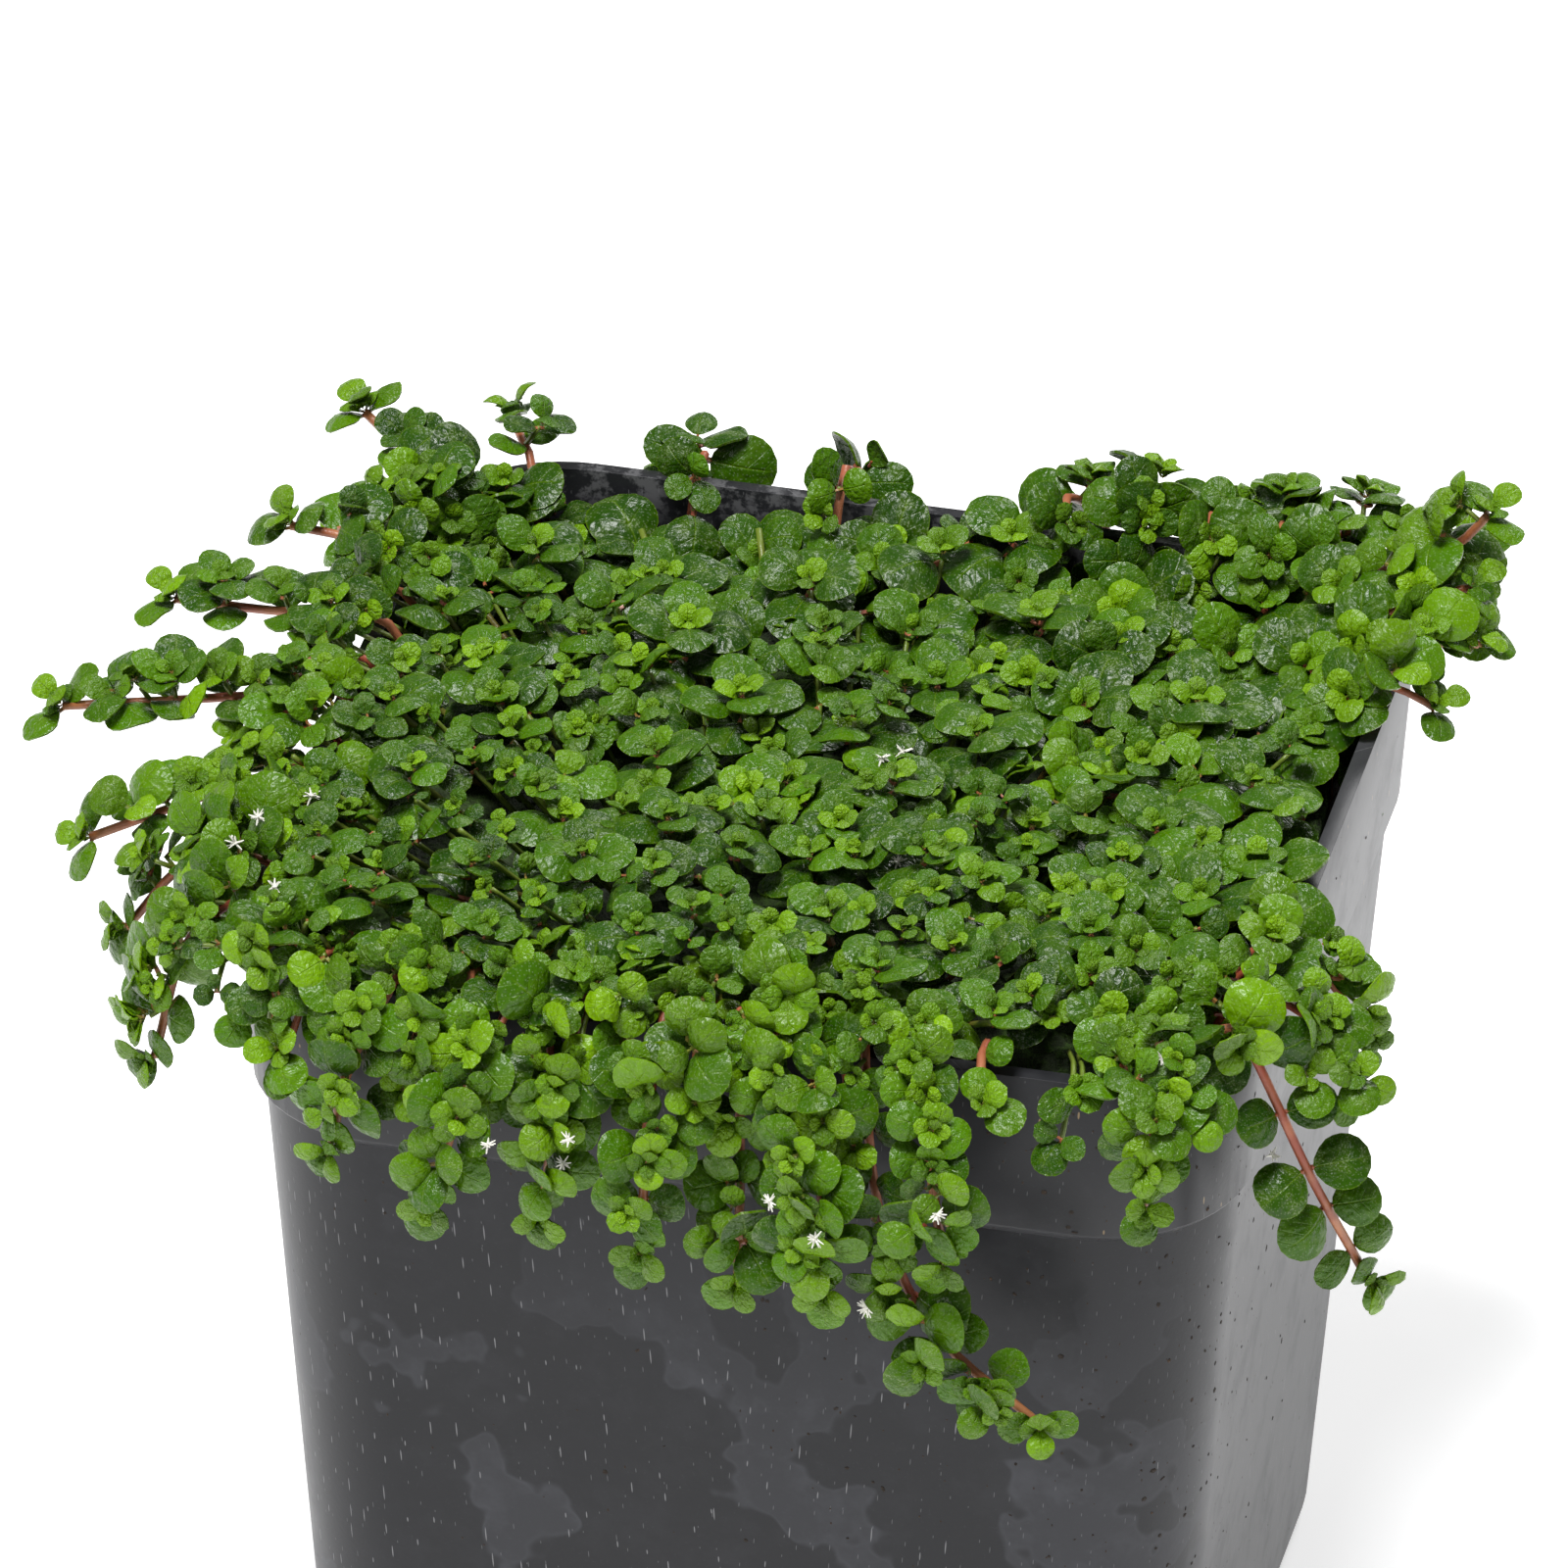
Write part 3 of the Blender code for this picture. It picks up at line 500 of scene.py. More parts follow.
PAIR_GROWTH = (0.92, 1.1)
YOUNG_SIZE = 0.8
YOUNG_STEP = 0.1
TUFT_SIZES = (0.72, 0.5)
TUFT_RISES = (8, 30)
TUFT_NOD = (0.25, 0.5)
TUFT_SWING = 45
TUFT_SPACE = (4, 5)

# Where each stem crosses the rim and how far above it (x, y, lift), then the points that it passes
# on its way to its tip, in millimetres.
TRAILING_STEMS = {
    "front_stem_1": ((-28, -44.5, 1.2), (-31, -49, 84), (-32.5, -49.5, 76)),
    "front_stem_2": ((-17.5, -44.5, 1.2), (-20.5, -51.5, 84), (-23, -52, 73.5)),
    "front_stem_3": ((-11.5, -44.5, 1.2), (-13, -48.5, 83), (-14, -49, 72)),
    "front_stem_4": ((-4.5, -44.5, 1.2), (-4.5, -51.5, 83), (-4.5, -52.5, 72)),
    "front_stem_5": ((2, -44.5, 1.2), (3, -48.5, 80), (3, -49, 68)),
    "front_stem_6": ((8.5, -44.5, 1.2), (10.5, -51.5, 83), (11.5, -52.5, 70.5)),
    "front_stem_7": ((17, -44.5, 1.2), (20, -51.5, 84), (21.5, -52, 74.5)),
    "front_stem_8": ((13, -44.5, 1.2), (15, -48.5, 77), (20, -49, 65.5), (29.5, -50, 58)),
    "front_stem_9": ((23, -44.5, 1.0), (24, -49, 88.5)),
    "front_stem_10": ((35, -44, 1.2), (37.5, -48.5, 90.8), (39, -50.5, 90)),
    "right_stem_1": ((43.5, -37, 1.2), (50, -37, 78), (54, -30.5, 64)),
    "right_stem_2": ((44.5, -22, 1.2), (50, -23, 86.5), (51, -25, 80)),
    "right_stem_3": ((44.5, -30, 1.2), (50, -32, 89.5), (52.5, -34.5, 87)),
    "right_stem_4": ((42, 36, 4), (47, 38, 96), (49.5, 38.5, 99)),
    "right_stem_5": ((44.5, 27, 1.8), (49, 29, 92), (50.5, 30, 91)),
    "right_stem_6": ((44.2, 32, 2.6), (47.5, 33, 94), (49, 33.5, 94.5)),
    "left_stem_1": ((-44.5, -3, 2.2), (-55, -3.5, 90), (-67.5, -4.5, 88)),
    "left_stem_2": ((-44.5, -15, 1.4), (-53, -17, 88), (-61.5, -18.5, 84)),
    "left_stem_3": ((-44.5, -26, 1.2), (-51, -27, 88), (-56, -27, 81)),
    "left_stem_4": ((-43.5, -36, 1.2), (-48.5, -36.5, 86), (-51, -37.5, 75)),
    "left_stem_5": ((-44.5, 10, 2.2), (-53, 12, 90), (-62, 13.5, 89)),
    "left_stem_6": ((-44.5, 22, 2.2), (-49.5, 22.5, 92), (-54, 23, 92)),
    "left_stem_7": ((-43, 35.5, 2.6), (-48, 38, 92.5), (-51.5, 40, 94)),
    "left_stem_8": ((-38, 43, 1.6), (-39.5, 46.5, 91.5)),
    "back_stem_1": ((-22, 44.5, 1.2), (-24, 50, 85), (-26, 50.5, 74)),
    "back_stem_2": ((-9, 44.5, 1.6), (-8, 50.5, 82), (-6, 50.5, 67)),
    "back_stem_3": ((11, 44.5, 1.6), (13, 50, 86), (15.5, 50, 76)),
    "back_stem_4": ((24, 44.5, 1.6), (26, 50.5, 84), (28, 50.5, 70)),
    "back_stem_5": ((35, 44, 1.6), (37, 49.5, 89), (38.5, 50.5, 81)),
}

Leaf = namedtuple("Leaf", "base along face length width")
Tuft = namedtuple("Tuft", "place axis out size")
Axil = namedtuple("Axil", "stem place way face")


UP = (0, 0, 1)


def unit(vector):
    return vector / np.linalg.norm(vector)


def turned(vector, axis, degrees):
    """vector turned about axis."""
    return np.array(Matrix.Rotation(math.radians(degrees), 3, Vector(axis)) @ Vector(vector))


def square_to(way, face):
    """The unit direction nearest to face that is square to way."""
    return unit(face - way * (face @ way))


def bearing(degrees):
    """A level direction."""
    return turned((1, 0, 0), UP, degrees)


def raised(flat, axis, degrees):
    """The length and the face of a leaf that stands out along flat and rises toward axis."""
    rise = math.radians(degrees)
    along = flat * math.cos(rise) + axis * math.sin(rise)
    return along, axis * math.cos(rise) - flat * math.sin(rise)


def spaced(points):
    """Points about a millimetre apart along the straight runs between the given ones."""
    run = np.r_[0, np.cumsum(np.linalg.norm(np.diff(points, axis=0), axis=1))]
    places = np.linspace(0, run[-1], round(run[-1] / MM) + 1)
    points = np.array(points)
    return np.stack([np.interp(places, run, points[:, k]) for k in range(3)], axis=1)


def smooth_route(points):
    """Points about a millimetre apart on a smooth curve through the given points."""
    ends = [2 * points[0] - points[1], *points, 2 * points[-1] - points[-2]]
    fine = []
    for before, start, end, after in zip(ends, ends[1:], ends[2:], ends[3:]):
        for t in np.linspace(0, 1, 12, endpoint=False):
            pull = (end - before) * t + (2 * before - 5 * start + 4 * end - after) * t**2
            fine.append(start + (pull + (3 * (start - end) + after - before) * t**3) / 2)
    return spaced([*fine, points[-1]])


def pot_gap(points):
    """How far points are from the pot's wall, near enough for keeping clear of it."""
    x, y, z = points.T
    outside = square_distance(x, y, half_width(np.minimum(z, POT_HEIGHT)))
    level = np.maximum(outside, -POT_WALL - outside)
    above = np.maximum(z - POT_HEIGHT, 0)
    return np.where(above > 0, np.hypot(np.maximum(level, 0), above), level).min()


def plate_points(leaf):
    """Points spread over a blade's middle surface."""
    turns = np.linspace(0, 2 * math.pi, PLATE_TURNS, endpoint=False)
    out = np.r_[0, np.full(PLATE_TURNS, 0.55), np.ones(PLATE_TURNS)]
    turns = np.r_[0, turns + 0.3, turns]
    side = np.cross(leaf.face, leaf.along)
    along = leaf.length * (1 + out * np.cos(turns)) / 2
    across = leaf.width * out * np.sin(turns) / 2
    rise = BLADE_DOME * (1 - out**2)
    return (
        leaf.base
        + np.outer(along, leaf.along)
        + np.outer(across, side)
        + np.outer(rise, leaf.face)
    )


def plate_gap(points, plates):
    """The least distance from points to plates: one set of points for all, or a set for each."""
    base, along, face = (plates[:, k : k + 3] for k in (0, 3, 6))
    length, width = plates[:, 9:10], plates[:, 10:11]
    away = points - base[:, None]
    u = 2 * np.einsum("npk,nk->np", away, along) / length - 1
    v = 2 * np.einsum("npk,nk->np", away, np.cross(face, along)) / width
    rise = np.einsum("npk,nk->np", away, face)
    out = np.hypot(u, v)
    beyond = np.maximum(out - 1, 0) * np.minimum(length, width) / 2
    return np.hypot(rise - BLADE_DOME * np.maximum(1 - out**2, 0), beyond).min()


def plate(leaf):
    """A leaf as one row of numbers."""
    return np.array([*leaf.base, *leaf.along, *leaf.face, leaf.length, leaf.width])


class Growth:
    """All the stems, and the leaves so far, so that each new leaf can be held clear of them."""

    def __init__(self, stems):
        self.stems = np.concatenate(list(stems.values()))
        self.owners = np.concatenate([[name] * len(line) for name, line in stems.items()])
        self.points = np.zeros((0, 2 * PLATE_TURNS + 1, 3))
        self.plates = np.zeros((0, 11))
        self.room = 1
        self.closing = PAIR_CLOSING
        self.lean = MOST_LEAN
        self.tries = LEAF_TRIES
        self.growths = LEAF_GROWTHS

    def add(self, leaves):
        if leaves:
            self.points = np.concatenate([self.points, [plate_points(leaf) for leaf in leaves]])
            self.plates = np.concatenate([self.plates, [plate(leaf) for leaf in leaves]])

    def add_stem(self, name, line):
        self.stems = np.concatenate([self.stems, line])
        self.owners = np.concatenate([self.owners, [name] * len(line)])

    def stem_fits(self, line):
        """True where a new shoot's stem is clear of the other stems and of every leaf."""
        away = np.linalg.norm(self.stems[:, None] - line, axis=2)
        if away.min() <= (CLEAR_STEM + STEM_RADIUS) * self.room:
            return False
        reach = 2 * LEAF_LENGTH + len(line) * MM
        near = np.linalg.norm(self.points[:, 0] - line[-1], axis=1) < reach
        return not near.any() or plate_gap(line, self.plates[near]) > CLEAR_STEM * self.room

    def fits(self, leaf, own_stem, own_leaves):
        """True where a blade is clear of the pot, the other stems and the other leaves."""
        points = plate_points(leaf)
        if pot_gap(points) < CLEAR_POT:
            return False
        row = plate(leaf)[None]
        near = np.linalg.norm(self.stems - points[0], axis=1) < leaf.length
        joint = np.linalg.norm(self.stems - leaf.base, axis=1) < STALK_REACH
        near &= (self.owners != own_stem) | ~joint
        if near.any() and plate_gap(self.stems[near], row) < CLEAR_STEM * self.room:
            return False
        paired = [other for other in own_leaves if np.linalg.norm(other.base - leaf.base) < MM / 100]
        if any(leaf.along @ other.along > self.closing for other in paired):
            return False
        own = [other for other in own_leaves if np.linalg.norm(other.base - leaf.base) > 1.1 * PAIR_GAP]
        if own:
            plates = np.array([plate(other) for other in own])
            theirs = np.concatenate([plate_points(other) for other in own])
            clear = CLEAR_OWN * self.room
            if plate_gap(points, plates) < clear or plate_gap(theirs, row) < clear:
                return False
        near = np.linalg.norm(self.points[:, 0] - points[0], axis=1) < 2 * LEAF_LENGTH
        if not near.any():
            return True
        clear = CLEAR_LEAF * self.room
        theirs = self.points[near].reshape(-1, 3)
        return plate_gap(points, self.plates[near]) >= clear and plate_gap(theirs, row) >= clear

    def bent_clear(self, leaf, way, own_stem, own_leaves):
        """The leaf, or the leaf swung, lifted, rolled or made smaller until it fits, or None."""
        for grow in self.growths:
            for swing, lift, roll in self.tries:
                along = turned(leaf.along, leaf.face, swing)
                side = np.cross(leaf.face, along)
                along = turned(along, side, -lift)
                face = turned(np.cross(along, side), along, roll)
                tried = Leaf(leaf.base, along, face, leaf.length * grow, leaf.width * grow)
                if abs(along @ way) < self.lean and self.fits(tried, own_stem, own_leaves):
                    return tried
        return None


def whorl(centre, axis, out, sizes, rises, growth, own_stem):
    """Two opposite pairs of leaves, the second a node higher up the axis and across the first."""
    found = []
    for k in range(4):
        base = centre + axis * PAIR_GAP * (k % 2)
        size = sizes[k % 2]
        ways = raised(turned(out, axis, 90 * k), axis, rises[k % 2])
        leaf = Leaf(base, *ways, LEAF_LENGTH * size, LEAF_WIDTH * size)
        leaf = growth.bent_clear(leaf, axis, own_stem, found)
        if leaf:
            found.append(leaf)
    return found


def stem_route(places):
    """A trailing stem's line: up out of the potting mix, over the rim and on to its tip."""
    (x, y, lift), *rest = places
    crest = np.array([x * MM, y * MM, POT_HEIGHT + lift * MM + STEM_RADIUS])
    straight = RIM_HALF * (1 - CORNER_SHARE)
    outward = unit((crest - np.clip(crest, -straight, straight)) * (1, 1, 0))
    root = crest - outward * RISER_INSET
    root[2] = SOIL_TOP - ROOT_DEPTH
    neck = np.array([*root[:2], POT_HEIGHT - NECK_DROP])
    shoulder = crest - outward * POT_WALL * 1.5
    outer = [np.array(p) * MM for p in rest]
    return smooth_route([root, neck, shoulder, crest + outward * CREST_REACH, *outer])


def facing(point):
    """The way that leaves on a trailing stem face: up above the rim, away from the pot below it."""
    x, y, z = point
    inner = RIM_HALF * 0.6
    away = np.array([x - np.clip(x, -inner, inner), y - np.clip(y, -inner, inner), 0])
    hang = np.clip((POT_HEIGHT - z) / HANG_DEPTH, 0, 1)
    return unit(unit(away) * (0.25 + hang) + np.array([0, 0, 1.25 - hang]))


def leafy_stem(name, line, draw, growth, least=-MM):
    """A trailing stem's leaves, each with its youth, its axils, and the tuft at its tip."""
    run = len(line) - 1
    onward = line[run] - line[run - 3]
    axis = unit(facing(line[run]) + unit(onward) * draw.uniform(*TUFT_NOD))
    out = turned(square_to(axis, onward), axis, draw.uniform(-TUFT_SWING, TUFT_SWING))
    tuft = whorl(line[run], axis, out, TUFT_SIZES, TUFT_RISES, growth, name)
    grown = [(leaf, 0.55 + 0.2 * (leaf.length < 0.6 * LEAF_LENGTH)) for leaf in tuft]
    found = list(tuft)
    axils = []
    place = run - draw.uniform(*TUFT_SPACE)
    pair = 0
    while place > 1 and square_distance(*line[int(place)][:2], RIM_HALF) > least:
        at = line[int(place)]
        way = unit(line[int(place) + 1] - line[int(place) - 1])
        face = square_to(way, facing(at))
        side = np.cross(way, face)
        grow = min(1, YOUNG_SIZE + YOUNG_STEP * pair) * draw.uniform(*PAIR_GROWTH)
        spread = draw.uniform(*PAIR_SPREADS[pair % 2])
        rise = draw.uniform(*PAIR_RISES[pair % 2])
        leaves = []
        for sign in (-1, 1):
            along = turned(side * sign, face, sign * spread)
            along = turned(along, np.cross(along, face), rise)
            up = square_to(along, face)
            leaf = Leaf(at, along, up, LEAF_LENGTH * grow, LEAF_WIDTH * grow)
            leaf = growth.bent_clear(leaf, way, name, found)
            if leaf:
                leaves.append(leaf)
                found.append(leaf)
        grown += [(leaf, max(0.45 - 0.12 * pair, 0.05)) for leaf in leaves]
        axils.append(Axil(name, at, way, face))
        place -= NODE_STEP / MM * draw.uniform(*STEP_SPREAD)
        pair += 1
    growth.add(found)
    return grown, axils, Tuft(line[run], axis, out, TUFT_SIZES[1])


# The leaves' own shape. A blade is a low dome with a crease along its midrib, widest past its
# middle, with a short stalk. Old ones are flat and round, and young ones are folded and small.

DEEP_GREEN = (0.014, 0.054, 0.0005, 1)
FRESH_GREEN = (0.058, 0.160, 0.0005, 1)
YOUNG_GREEN = (0.18, 0.35, 0.001, 1)
BLUISH_GREEN = (0.020, 0.064, 0.004, 1)
PALE_GREEN = (0.14, 0.25, 0.003, 1)
# LIME_AND_GLINT_WHITE is the white of the leaves' fine dots, and of painted glints.
LIME_AND_GLINT_WHITE = (0.55, 0.60, 0.42, 1)
OLD_STEM = (0.28, 0.06, 0.030, 1)
CORAL_STEM = (0.42, 0.15, 0.07, 1)
GREEN_STEM = (0.13, 0.19, 0.02, 1)
BLADE_START = 0.10
BLADE_CELLS = (4, 5)
BLADE_SHEET = 0.045
STALK_END = 0.24
STALK_WIDTH = 0.055


def leaf_blade(name, fold, dome, wave, phase, narrow, cells=BLADE_CELLS):
    """One leaf, a unit long and wide, along +Y and facing +Z. Its UV map is flat over the blade."""
    bm = bmesh.new()
    bmesh.ops.create_grid(bm, x_segments=cells[0], y_segments=cells[1], size=1)
    chart = bm.loops.layers.uv.new("blade")
    for v in bm.verts:
        x, y = v.co.x * math.sqrt(1 - v.co.y**2 / 2), v.co.y * math.sqrt(1 - v.co.x**2 / 2)
        for loop in v.link_loops:
            loop[chart].uv = (x / 2 + 0.5, y / 2 + 0.5)
        out = math.hypot(x, y)
        turn = math.atan2(y, x)
        height = dome * (1 - out**2) - fold * (0.25 - abs(x)) * (1 - 0.5 * abs(y))
        height += wave * out**2 * math.cos(3 * turn + phase)
        wedge = 1 - 0.16 * max(-0.45 - y, 0) / 0.55
        wide = (1.02 + 0.05 * y) * wedge * narrow
        v.co = (x * wide / 2, BLADE_START + (1 - BLADE_START) * (y + 1) / 2, height)
    bmesh.ops.recalc_face_normals(bm, faces=bm.faces[:])
    bmesh.ops.solidify(bm, geom=bm.faces[:], thickness=BLADE_SHEET)
    under = Matrix.Translation((0, STALK_END / 2, -BLADE_SHEET))
    lie = under @ Matrix.Rotation(math.radians(-90), 4, "X")
    stalk = rod(bm, 4, STALK_WIDTH, STALK_WIDTH * 0.7, STALK_END, lie)
    for face in {f for v in stalk for f in v.link_faces}:
        face.material_index = 1
    bmesh.ops.recalc_face_normals(bm, faces=bm.faces[:])
    mesh = made_mesh(name, bm)
    mesh.shade_smooth()
    mesh.set_sharp_from_angle(angle=math.radians(60))
    mesh.attributes.new("look", "FLOAT_COLOR", "POINT")
    return mesh


# Each blade's fold, dome, wave, the wave's phase, and how narrow it is.
OLD_SHAPES = (
    (0.06, 0.15, 0.030, 0.4, 0.96), (-0.04, 0.19, 0.030, 1.9, 1.04),
    (0.12, 0.12, 0.040, 3.1, 0.90), (0.08, 0.22, 0.020, 4.4, 1.0), (0.02, 0.10, 0.040, 5.5, 0.82),
)
YOUNG_SHAPES = (
    (0.16, 0.24, 0.02, 0.8, 0.97), (0.24, 0.28, 0.03, 2.6, 0.92), (0.10, 0.30, 0.02, 4.9, 1.0),
)
TINY_SHAPES = ((0.14, 0.30, 0.02, 0.8, 0.95), (0.08, 0.36, 0.03, 3.6, 1.0))
OLD_BLADES = [leaf_blade("old_blade", *shape) for shape in OLD_SHAPES]
YOUNG_BLADES = [leaf_blade("young_blade", *shape) for shape in YOUNG_SHAPES]
TINY_BLADES = [leaf_blade("tiny_blade", *shape, (2, 3)) for shape in TINY_SHAPES]


def set_leaf(bm, leaf, youth, draw):
    """Lays a leaf in its place, with its youth, its shade and a number of its own in "look"."""
    if leaf.length < 0.4 * LEAF_LENGTH:
        blades = TINY_BLADES
    else:
        blades = YOUNG_BLADES if youth > 0.6 else OLD_BLADES
    blade = draw.choice(blades).copy()
    side = np.cross(leaf.along, leaf.face)
    axes = np.column_stack([side * leaf.width, leaf.along * leaf.length, leaf.face * leaf.length])
    lie = Matrix(axes.tolist()).to_4x4()
    lie.translation = Vector(leaf.base)
    blade.transform(lie)
    look = (youth, draw.random(), draw.random(), 1)
    blade.attributes["look"].data.foreach_set("color", np.tile(look, len(blade.vertices)))
    bm.from_mesh(blade)
    bpy.data.meshes.remove(blade)


def new_foliage():
    """An empty bmesh with the leaves' layers."""
    bm = bmesh.new()
    bm.from_mesh(OLD_BLADES[0])
    bmesh.ops.delete(bm, geom=bm.verts[:], context="VERTS")
    return bm


def round_stem(foliage, line, thick, sides, youth, tip_youth):
    """A round stem along a line, in rings two millimetres apart, that turns from red to green."""
    bm = new_foliage()
    look = bm.verts.layers.float_color["look"]
    rings = [line[k] for k in range(0, len(line) - 1, 2)] + [line[-1]]
    way = Vector(rings[1] - rings[0]).normalized()
    stand = Matrix.Translation(rings[0]) @ way.to_track_quat("Z", "Y").to_matrix().to_4x4()
    bmesh.ops.create_circle(bm, cap_ends=True, segments=sides, radius=thick, matrix=stand)
    end = bm.faces[:][0]
    for v in end.verts:
        v[look] = (youth, 0.5, 0.5, 1)
    for k in range(1, len(rings)):
        end = bmesh.ops.extrude_discrete_faces(bm, faces=[end])["faces"][0]
        onward = Vector(rings[min(k + 1, len(rings) - 1)] - rings[k - 1]).normalized()
        bend = Matrix.Translation(rings[k]) @ way.rotation_difference(onward).to_matrix().to_4x4()
        move = bend @ Matrix.Translation(-Vector(rings[k - 1]))
        bmesh.ops.transform(bm, matrix=move, verts=end.verts[:])
        for v in end.verts:
            v[look] = (youth + (tip_youth - youth) * k / len(rings), 0.5, 0.5, 1)
        way = onward
    bmesh.ops.holes_fill(bm, edges=[e for e in bm.edges if e.is_boundary])
    bmesh.ops.recalc_face_normals(bm, faces=bm.faces[:])
    for face in bm.faces:
        face.material_index = 1
        face.smooth = True
    mesh = made_mesh("stem", bm)
    foliage.from_mesh(mesh)
    bpy.data.meshes.remove(mesh)


def leaf_finish():
    leaf = Finish("puckered_leaf", Metallic=0, IOR=1.42, Specular_IOR_Level=0.31)
    youth, shade, own = leaf.look()
    chart = leaf.node("ShaderNodeUVMap", {"uv_map": "blade"}, {})
    u, v, _ = chart.parts()
    across = abs(u * 2 - 1)
    along = v * 2 - 1
    rim = (across * across + along * along) ** 0.5
    spot = leaf.vector(u + own * 37, v + own * 91, 0)
    blister = leaf.noise(spot, 0.17, 1, 0.5, "2D").between(0.25, 0.75)
    slope = along - across * 0.8
    lane = leaf.node("ShaderNodeMath", {"operation": "FRACT"}, {0: slope * 2.1 + 0.3})
    vein = abs(lane - 0.5).between(0.10, 0.0) * across.between(0.9, 0.3)
    midrib = across.between(0.06, 0.0) * along.between(0.95, 0.4)
    grain = leaf.noise(spot, 0.04, 1, 0.6, "2D")
    mottle = leaf.noise(spot, 0.35, 2, 0.6, "2D")
    net = {"Vector": spot, "Scale": 15}
    dots = leaf.node("ShaderNodeTexVoronoi", {"voronoi_dimensions": "2D"}, net).between(0.22, 0.1)
    # glints are pale specks on a share of the leaves. They are painted into the colour as highlights
    # where light would glint off the fine grain, and they also make the surface a little rougher.
    glints = grain.between(0.56, 0.68) * mottle.between(0.48, 0.62)
    scale_and_painted_glints = glints * (shade < 0.4)
    green = leaf.mix(youth.between(0.0, 0.5), DEEP_GREEN, FRESH_GREEN)
    green = leaf.mix(youth.between(0.4, 1.0), green, YOUNG_GREEN)
    shaded = leaf.vector(shade * 0.65 + 0.5, shade * 0.6 + 0.55, shade * 0.5 + 0.6)
    green = leaf.mix(0.7, green, shaded, "MULTIPLY")
    green = leaf.mix((own > 0.8) * 0.5, green, BLUISH_GREEN)
    green = leaf.mix(mottle.between(0.35, 0.8) * 0.2, green, PALE_GREEN)
    # Darker green in the hollows between the blisters: painted shade.
    green = leaf.mix((1 - blister) * 0.12, green, DEEP_GREEN)
    green = leaf.mix(vein * 0.10 + midrib * 0.3, green, PALE_GREEN)
    green = leaf.mix(rim.between(0.93, 1.0) * 0.35, green, PALE_GREEN)
    green = leaf.mix(dots * 0.12 + scale_and_painted_glints * 0.2, green, LIME_AND_GLINT_WHITE)
    height = blister * 0.8 - vein * 0.25 - midrib * 0.5 + grain * 0.22
    leaf.feed(
        Base_Color=green,
        Roughness=0.17 + 0.22 * mottle + 0.1 * scale_and_painted_glints,
        Normal=leaf.bump(height, 0.12 * MM, 1),
    )
    return leaf


def stem_finish():
    stem = Finish("fleshy_stem", Metallic=0, Roughness=0.38)
    youth, _, _ = stem.look()
    where = stem.place()
    blush = stem.noise(where, 4, 2)
    red = stem.mix(blush.between(0.35, 0.65), OLD_STEM, CORAL_STEM)
    stem.feed(
        Base_Color=stem.mix(youth.between(0.3, 0.9), red, GREEN_STEM),
        Normal=stem.bump(stem.noise(where, 0.3, 2), 0.05 * MM),
    )
    return stem


leafy = leaf_finish()
fleshy = stem_finish()


def set_tuft(bm, tuft, draw):
    """The youngest leaves, folded over each other in the middle of a tuft."""
    fresh = draw.uniform(0.6, 1.0)
    for pair, (size, rise, youth) in enumerate(((0.70, 30, 0.85 * fresh), (0.50, 44, fresh))):
        for k in range(2):
            lift = rise + draw.uniform(-14, 14)
            ways = raised(turned(tuft.out, tuft.axis, 180 * k + 90 * pair), tuft.axis, lift)
            length = LEAF_LENGTH * tuft.size * size * draw.uniform(0.8, 1.1)
            base = tuft.place + tuft.axis * 0.25 * MM * (pair + 1)
            set_leaf(bm, Leaf(base, *ways, length, length * 0.85), youth, draw)


SIDES = ("front", "right", "left", "back")
lines = {name: stem_route(places) for name, places in TRAILING_STEMS.items()}
growth = Growth(lines)
sides = {side: new_foliage() for side in SIDES}
axils = {side: [] for side in SIDES}
paint = random.Random(3)


# Where the light comes from, and how far each side's leaves have twisted on their stalks toward it.
LIGHT = np.array((0.16, -0.80, 0.25))
SIDE_TWISTS = {"front": 0, "right": -38, "left": 28, "back": 0}
SIDE_SHARES = {"front": 0.82, "right": 0.84, "left": 0.86, "back": 0.86}


def twisted(side, *ways):
    """Directions on a side's leaves, as their stalks have twisted them."""
    return [turned(way, UP, SIDE_TWISTS[side]) for way in ways]


def grow_trailing(side, name, line, draw, thick, least=-MM):
    """One trailing stem with its leaves."""
    grown, nodes, tuft = leafy_stem(name, line, draw, growth, least)
    for leaf, youth in grown:
        along, face = twisted(side, leaf.along, leaf.face)
        if side == "back" and leaf.base[2] > POT_HEIGHT - 2 * MM:
            along = unit(along * (1, 0.3, 1) + (0, 0, paint.uniform(-0.3, 0.3)))
            across = paint.uniform(-0.5, 0.5)
            face = square_to(along, LIGHT + (across, 0, paint.uniform(0, 0.6)))
        share = SIDE_SHARES[side] * paint.uniform(0.88, 1.1)
        leaf = leaf._replace(length=leaf.length * share, width=leaf.width * share)
        set_leaf(sides[side], leaf._replace(along=along, face=face), youth, paint)
    axis, out = twisted(side, tuft.axis, tuft.out)
    set_tuft(sides[side], tuft._replace(axis=axis, out=out), paint)
    round_stem(sides[side], line, thick, 7, 0, 0.5)
    axils[side] += nodes


for name, line in lines.items():
    grow_trailing(name.split("_")[0], name, line, random.Random(f"{SEED} {name}"), STEM_HALF * 0.92)


# The mat: short upright shoots packed side by side, each with a head of two pairs of leaves over
# older, darker ones, and a tuft of bright young leaves in the middle. It lies lowest along the
# back wall and spills over the front and left of the rim.

